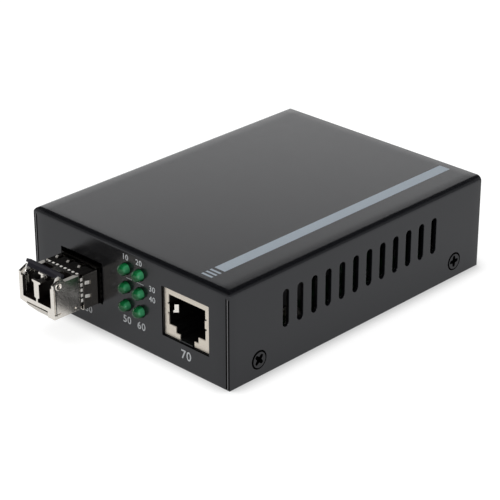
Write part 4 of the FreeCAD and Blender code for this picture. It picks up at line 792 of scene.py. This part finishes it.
def rim(place, inner, outer, rise):
    """A raised rim round a line along X: its corners and faces. The rise is its height, with a sign."""
    return turned_across(place, ((inner, 0.0), ((inner + outer) / 2, rise), (outer, 0.0)))


# The rims on the ears' outer faces and, this far in, those on their inner faces.
OUTER_RIM = (0.66 * MM, 1.04 * MM)
OUTER_RIM_RISE = 0.16 * MM
INNER_RIM = (0.45 * MM, 0.9 * MM)
INNER_RIM_RISE = 0.1 * MM
EAR_THICKNESS = 1.29 * MM


def ear_rims():
    """The bright rims round the handle's axle, on both sides of each ear."""
    parts = []
    for side, outward in ((GRIP_LOW[0], -1), (GRIP_HIGH[0], 1)):
        parts.append(rim((side, AXLE_PLACE, AXLE_LEVEL), *OUTER_RIM, outward * OUTER_RIM_RISE))
        inner = side - outward * EAR_THICKNESS
        parts.append(rim((inner, AXLE_PLACE, AXLE_LEVEL), *INNER_RIM, -outward * INNER_RIM_RISE))
    add_piece("ear_rims", joined_mesh("ear_rims", parts), FINISHES["module_zinc"], "bale")


NOSE_SEAM_NEAR = 0.62 * MM
NOSE_SEAM_FAR = 0.86 * MM
NOSE_SEAM_LOW = 8.9 * MM
NOSE_SEAM_HIGH = 16.2 * MM
NOSE_SEAM_RISE = 0.01 * MM


def nose_groove_shade():
    """Painted shade: a dark strip down each side of the nose, in the groove just behind its front edge."""
    near, far = NOSE_FACE + NOSE_SEAM_NEAR, NOSE_FACE + NOSE_SEAM_FAR
    strips = [
        on_side(near, far, NOSE_SEAM_LOW, NOSE_SEAM_HIGH, x)
        for x in (NOSE_LOW[0] - NOSE_SEAM_RISE, NOSE_HIGH[0] + NOSE_SEAM_RISE)
    ]
    add_piece("nose_groove_shade", flat_mesh("nose_groove_shade", strips), SHADE_BLACK, "module")


# The bend of each side spring in the copper socket, from its middle and its face; and the lip below it.
BEND_WALL = 6.35 * MM
BEND_WALL_DEPTH = 1.5 * MM
BEND_TIP = 5.4 * MM
BEND_TIP_DEPTH = 2.45 * MM
BEND_LOW = 13.0 * MM
BEND_HIGH = 15.2 * MM
LIP_LEFT = 17.6 * MM
LIP_RIGHT = 22.3 * MM
LIP_LOW = 7.0 * MM
LIP_HIGH = 7.3 * MM
LIP_DEPTH = 0.08 * MM


def socket_trim():
    """A painted highlight on the bend of each side spring in the copper socket, and the grey lip below its
    notch.
    """
    face = SHIELD_LOW[1]
    bends = []
    for sign in (-1, 1):
        wall, tip = SHIELD_MIDDLE + sign * BEND_WALL, SHIELD_MIDDLE + sign * BEND_TIP
        wall_y, tip_y = face + BEND_WALL_DEPTH, face + BEND_TIP_DEPTH
        bends.append((
            (wall, wall_y, BEND_LOW),
            (tip, tip_y, BEND_LOW),
            (tip, tip_y, BEND_HIGH),
            (wall, wall_y, BEND_HIGH),
        ))
    add_piece("spring_bend_highlights", flat_mesh("spring_bend_highlights", bends), SPRING_BEND_HIGHLIGHT, "case")
    lip = on_front(LIP_LEFT, LIP_RIGHT, LIP_LOW, LIP_HIGH, face + LIP_DEPTH)
    add_piece("socket_lip", flat_mesh("socket_lip", (lip,)), PAINTED_EDGE_GREY, "case")


GAP_LEFT = 0.5 * MM
GAP_BELOW = 0.4 * MM
GAP_OVERLAP = 0.1 * MM
SHADOW_WIDTH = 1.0 * MM
SHADOW_LOW = 7.6 * MM
SHADOW_HIGH = 17.6 * MM
SHADOW_RISE = 0.02 * MM


def panel_gaps():
    """Painted shade in the gaps that the panel leaves round the copper socket, and a painted shadow beside
    the cage.
    """
    left, right = SHIELD_LOW[0], SHIELD_HIGH[0]
    bottom, top = SHIELD_LOW[2], SHIELD_HIGH[2]
    gaps = (
        on_front(left - GAP_LEFT, left, bottom - GAP_BELOW, top + GAP_OVERLAP, FRONT),
        on_front(left, right + GAP_OVERLAP, bottom - GAP_BELOW, bottom, FRONT),
    )
    add_piece("socket_gap_shade", flat_mesh("socket_gap_shade", gaps), SHADE_BLACK, "case")
    shadow = on_side(FRONT - SHADOW_WIDTH, FRONT, SHADOW_LOW, SHADOW_HIGH, CAGE_HIGH[0] + SHADOW_RISE)
    add_piece("cage_shadow", flat_mesh("cage_shadow", (shadow,)), SHADE_BLACK, "case")


# The cover screws: how far in their middles are from the ends of their box, their level, one arm of the
# cross in the head in millimetres, and the painted shade in the gap round the head, which is wider in front
# and above.
SCREW_INSET = 2.5 * MM
SCREW_LEVEL = 4.7 * MM
SCREW_MARK_RISE = 0.02 * MM
CROSS_ARM = ((0.0, -0.6), (1.1, -0.5), (1.6, -0.34), (1.6, 0.34), (1.1, 0.5), (0.0, 0.6))
HEAD_GAP_INNER = 2.12 * MM
HEAD_GAP_OUTER = 2.56 * MM
HEAD_SHADE_SHIFT = 0.12 * MM


def cross_arm(x, along, level, turn):
    """One arm of a screw's cross, turned about the screw's middle: its corners and its face."""
    corners = [
        (
            x,
            along + MM * (reach * math.cos(turn) - wide * math.sin(turn)),
            level + MM * (reach * math.sin(turn) + wide * math.cos(turn)),
        )
        for reach, wide in CROSS_ARM
    ]
    return corners, [tuple(range(len(CROSS_ARM)))]


def screw_recess_shade():
    """Painted shade: a dark cross in each cover screw's head and a dark ring in the gap around it."""
    steps = 32
    parts = []
    for sign in (-1, 1):
        x = sign * (SCREWS_HIGH[0] + SCREW_MARK_RISE)
        for along in (SCREWS_LOW[1] + SCREW_INSET, SCREWS_HIGH[1] - SCREW_INSET):
            first_turn = math.pi / 4 if along < 0 else 0.0
            for quarter in range(4):
                parts.append(cross_arm(x, along, SCREW_LEVEL, first_turn + math.pi / 2 * quarter))
            inner = circle((x, along + HEAD_SHADE_SHIFT, SCREW_LEVEL - HEAD_SHADE_SHIFT), HEAD_GAP_INNER, steps)
            outer = circle((x, along, SCREW_LEVEL), HEAD_GAP_OUTER, steps)
            parts.append((inner + outer, faces_between(2, steps)))
    add_piece("screw_recess_shade", joined_mesh("screw_recess_shade", parts), SHADE_BLACK, "case")


# Strips down the front's corners, from and to these distances from the middle.
SEAM_SHADE_STRIPS = ((34.25 * MM, 34.62 * MM), (35.08 * MM, 35.46 * MM))
EDGE_HIGHLIGHT_STRIPS = ((34.74 * MM, 35.0 * MM),)
STRIP_LOW = 0.3 * MM
STRIP_HIGH = 24.6 * MM


def corner_strips(strips):
    """The strips' outlines on the front, down its left and its right corner."""
    outlines = []
    for sign in (-1, 1):
        for near, far in strips:
            left, right = sorted((sign * near, sign * far))
            outlines.append(on_front(left, right, STRIP_LOW, STRIP_HIGH, FRONT))
    return outlines


def sheet_corners():
    """Painted shade down the two seams at the front's corners, with a painted highlight on the sheet edge
    between them.
    """
    add_piece("corner_seam_shade", flat_mesh("corner_seam_shade", corner_strips(SEAM_SHADE_STRIPS)), SHADE_BLACK, "case")
    add_piece("corner_edge_highlights", flat_mesh("corner_edge_highlights", corner_strips(EDGE_HIGHLIGHT_STRIPS)), PAINTED_EDGE_GREY, "case")


# ---------------------------------------------------------------- studio

FLOOR_HALF_SIZE = 3.0
FLOOR_WHITE = 0.34
FLOOR_GLOW = 0.8
FLOOR_MIRRORED = 0.5
CONTACT_SHADOW = 4.5 * MM


def stage_floor():
    """A white floor that glows a little for the camera and in reflections, and keeps a soft shadow; its glow
    for the camera is darkened near the object as a painted contact shadow.
    """
    half = FLOOR_HALF_SIZE
    mesh = flat_mesh("floor", (((-half, -half, 0), (half, -half, 0), (half, half, 0), (-half, half, 0)),))
    floor = bpy.data.objects.new("floor", mesh)
    bpy.context.scene.collection.objects.link(floor)
    material = bpy.data.materials.new("floor_white")
    material.use_nodes = True
    tree = material.node_tree
    tree.nodes.clear()
    output = tree.nodes.new("ShaderNodeOutputMaterial")
    both = tree.nodes.new("ShaderNodeAddShader")
    paint = tree.nodes.new("ShaderNodeBsdfDiffuse")
    paint.inputs["Color"].default_value = (FLOOR_WHITE, FLOOR_WHITE, FLOOR_WHITE, 1)
    glow = tree.nodes.new("ShaderNodeEmission")
    rays = tree.nodes.new("ShaderNodeLightPath")
    # Painted contact shadow: ambient occlusion darkens the camera's glow within CONTACT_SHADOW of the object.
    close = tree.nodes.new("ShaderNodeAmbientOcclusion")
    close.inputs["Distance"].default_value = CONTACT_SHADOW
    open_glow = calculate(tree, "MULTIPLY", close.outputs["AO"], FLOOR_GLOW)
    seen = calculate(tree, "MULTIPLY", rays.outputs["Is Camera Ray"], open_glow)
    mirrored = calculate(tree, "MULTIPLY", rays.outputs["Is Glossy Ray"], FLOOR_MIRRORED)
    tree.links.new(calculate(tree, "ADD", seen, mirrored), glow.inputs["Strength"])
    tree.links.new(paint.outputs["BSDF"], both.inputs[0])
    tree.links.new(glow.outputs["Emission"], both.inputs[1])
    tree.links.new(both.outputs["Shader"], output.inputs["Surface"])
    mesh.materials.append(material)


# The light in reflections: how bright it is at each height, and how it changes round the object,
# from the dim sides to the bright sweep that runs from the back left to the front right.
SKY_LEVELS = ((0.36, 1.0), (0.45, 0.36), (0.56, 0.02))
SWEEP_AXIS = (-0.707, 0.707, 0.0)
SWEEP_START = 0.1
SWEEP_FULL = 0.6
SKY_DIM = 0.3
SKY_BRIGHT = 1.5
FILL_LIGHT = 0.65


def studio_world():
    """White for the camera, an even fill, and in reflections a sweep, white low down and dark overhead."""
    world = bpy.data.worlds.new("studio")
    bpy.context.scene.world = world
    world.use_nodes = True
    tree = world.node_tree
    tree.nodes.clear()
    output = tree.nodes.new("ShaderNodeOutputWorld")
    direction = tree.nodes.new("ShaderNodeTexCoord")
    split = tree.nodes.new("ShaderNodeSeparateXYZ")
    ramp = tree.nodes.new("ShaderNodeValToRGB")
    tree.links.new(direction.outputs["Generated"], split.inputs["Vector"])
    tree.links.new(split.outputs["Z"], ramp.inputs["Fac"])
    fill_ramp(ramp.color_ramp, [(position, (level,) * 3) for position, level in SKY_LEVELS])
    along_axis = tree.nodes.new("ShaderNodeVectorMath")
    along_axis.operation = "DOT_PRODUCT"
    along_axis.inputs[1].default_value = SWEEP_AXIS
    tree.links.new(direction.outputs["Generated"], along_axis.inputs[0])
    sweep = tree.nodes.new("ShaderNodeMapRange")
    sweep.interpolation_type = "SMOOTHSTEP"
    sweep.inputs["From Min"].default_value = SWEEP_START
    sweep.inputs["From Max"].default_value = SWEEP_FULL
    sweep.inputs["To Min"].default_value = SKY_DIM
    sweep.inputs["To Max"].default_value = SKY_BRIGHT
    either_way = calculate(tree, "ABSOLUTE", along_axis.outputs["Value"])
    tree.links.new(either_way, sweep.inputs["Value"])
    sky = tree.nodes.new("ShaderNodeBackground")
    tree.links.new(sweep.outputs["Result"], sky.inputs["Strength"])
    tree.links.new(ramp.outputs["Color"], sky.inputs["Color"])
    fill = tree.nodes.new("ShaderNodeBackground")
    fill.inputs["Color"].default_value = (1, 1, 1, 1)
    fill.inputs["Strength"].default_value = FILL_LIGHT
    white = tree.nodes.new("ShaderNodeBackground")
    white.inputs["Color"].default_value = (1, 1, 1, 1)
    rays = tree.nodes.new("ShaderNodeLightPath")
    glossy = tree.nodes.new("ShaderNodeMixShader")
    camera = tree.nodes.new("ShaderNodeMixShader")
    tree.links.new(rays.outputs["Is Glossy Ray"], glossy.inputs["Fac"])
    tree.links.new(fill.outputs["Background"], glossy.inputs[1])
    tree.links.new(sky.outputs["Background"], glossy.inputs[2])
    tree.links.new(rays.outputs["Is Camera Ray"], camera.inputs["Fac"])
    tree.links.new(glossy.outputs["Shader"], camera.inputs[1])
    tree.links.new(white.outputs["Background"], camera.inputs[2])
    tree.links.new(camera.outputs["Shader"], output.inputs["Surface"])


LAMPS_AIM = Vector((0, 0, 10 * MM))


def add_lamp(name, place, width, height, power):
    """A soft lamp that faces the object."""
    data = bpy.data.lights.new(name, "AREA")
    data.shape = "RECTANGLE"
    data.size = width
    data.size_y = height
    data.energy = power
    lamp = bpy.data.objects.new(name, data)
    bpy.context.scene.collection.objects.link(lamp)
    lamp.location = place
    lamp.rotation_euler = (Vector(place) - LAMPS_AIM).to_track_quat("Z", "Y").to_euler()
    return lamp


add_camera()
dress_nodes()
dress_module()
dress_socket()
printed_marks()
lamp_lenses()
cage_tab_highlights()
spring_tip_highlights()
axle_ends()
ear_rims()
nose_groove_shade()
socket_trim()
panel_gaps()
screw_recess_shade()
sheet_corners()
stage_floor()
studio_world()
key = add_lamp("key_lamp", place=(-0.2, -0.3, 0.95), width=0.6, height=0.6, power=3.5)
key.visible_glossy = False
add_lamp("side_strip", place=(0.6, -0.06, 0.16), width=0.06, height=0.35, power=0.8)

scene = bpy.context.scene
scene.view_settings.view_transform = "Standard"
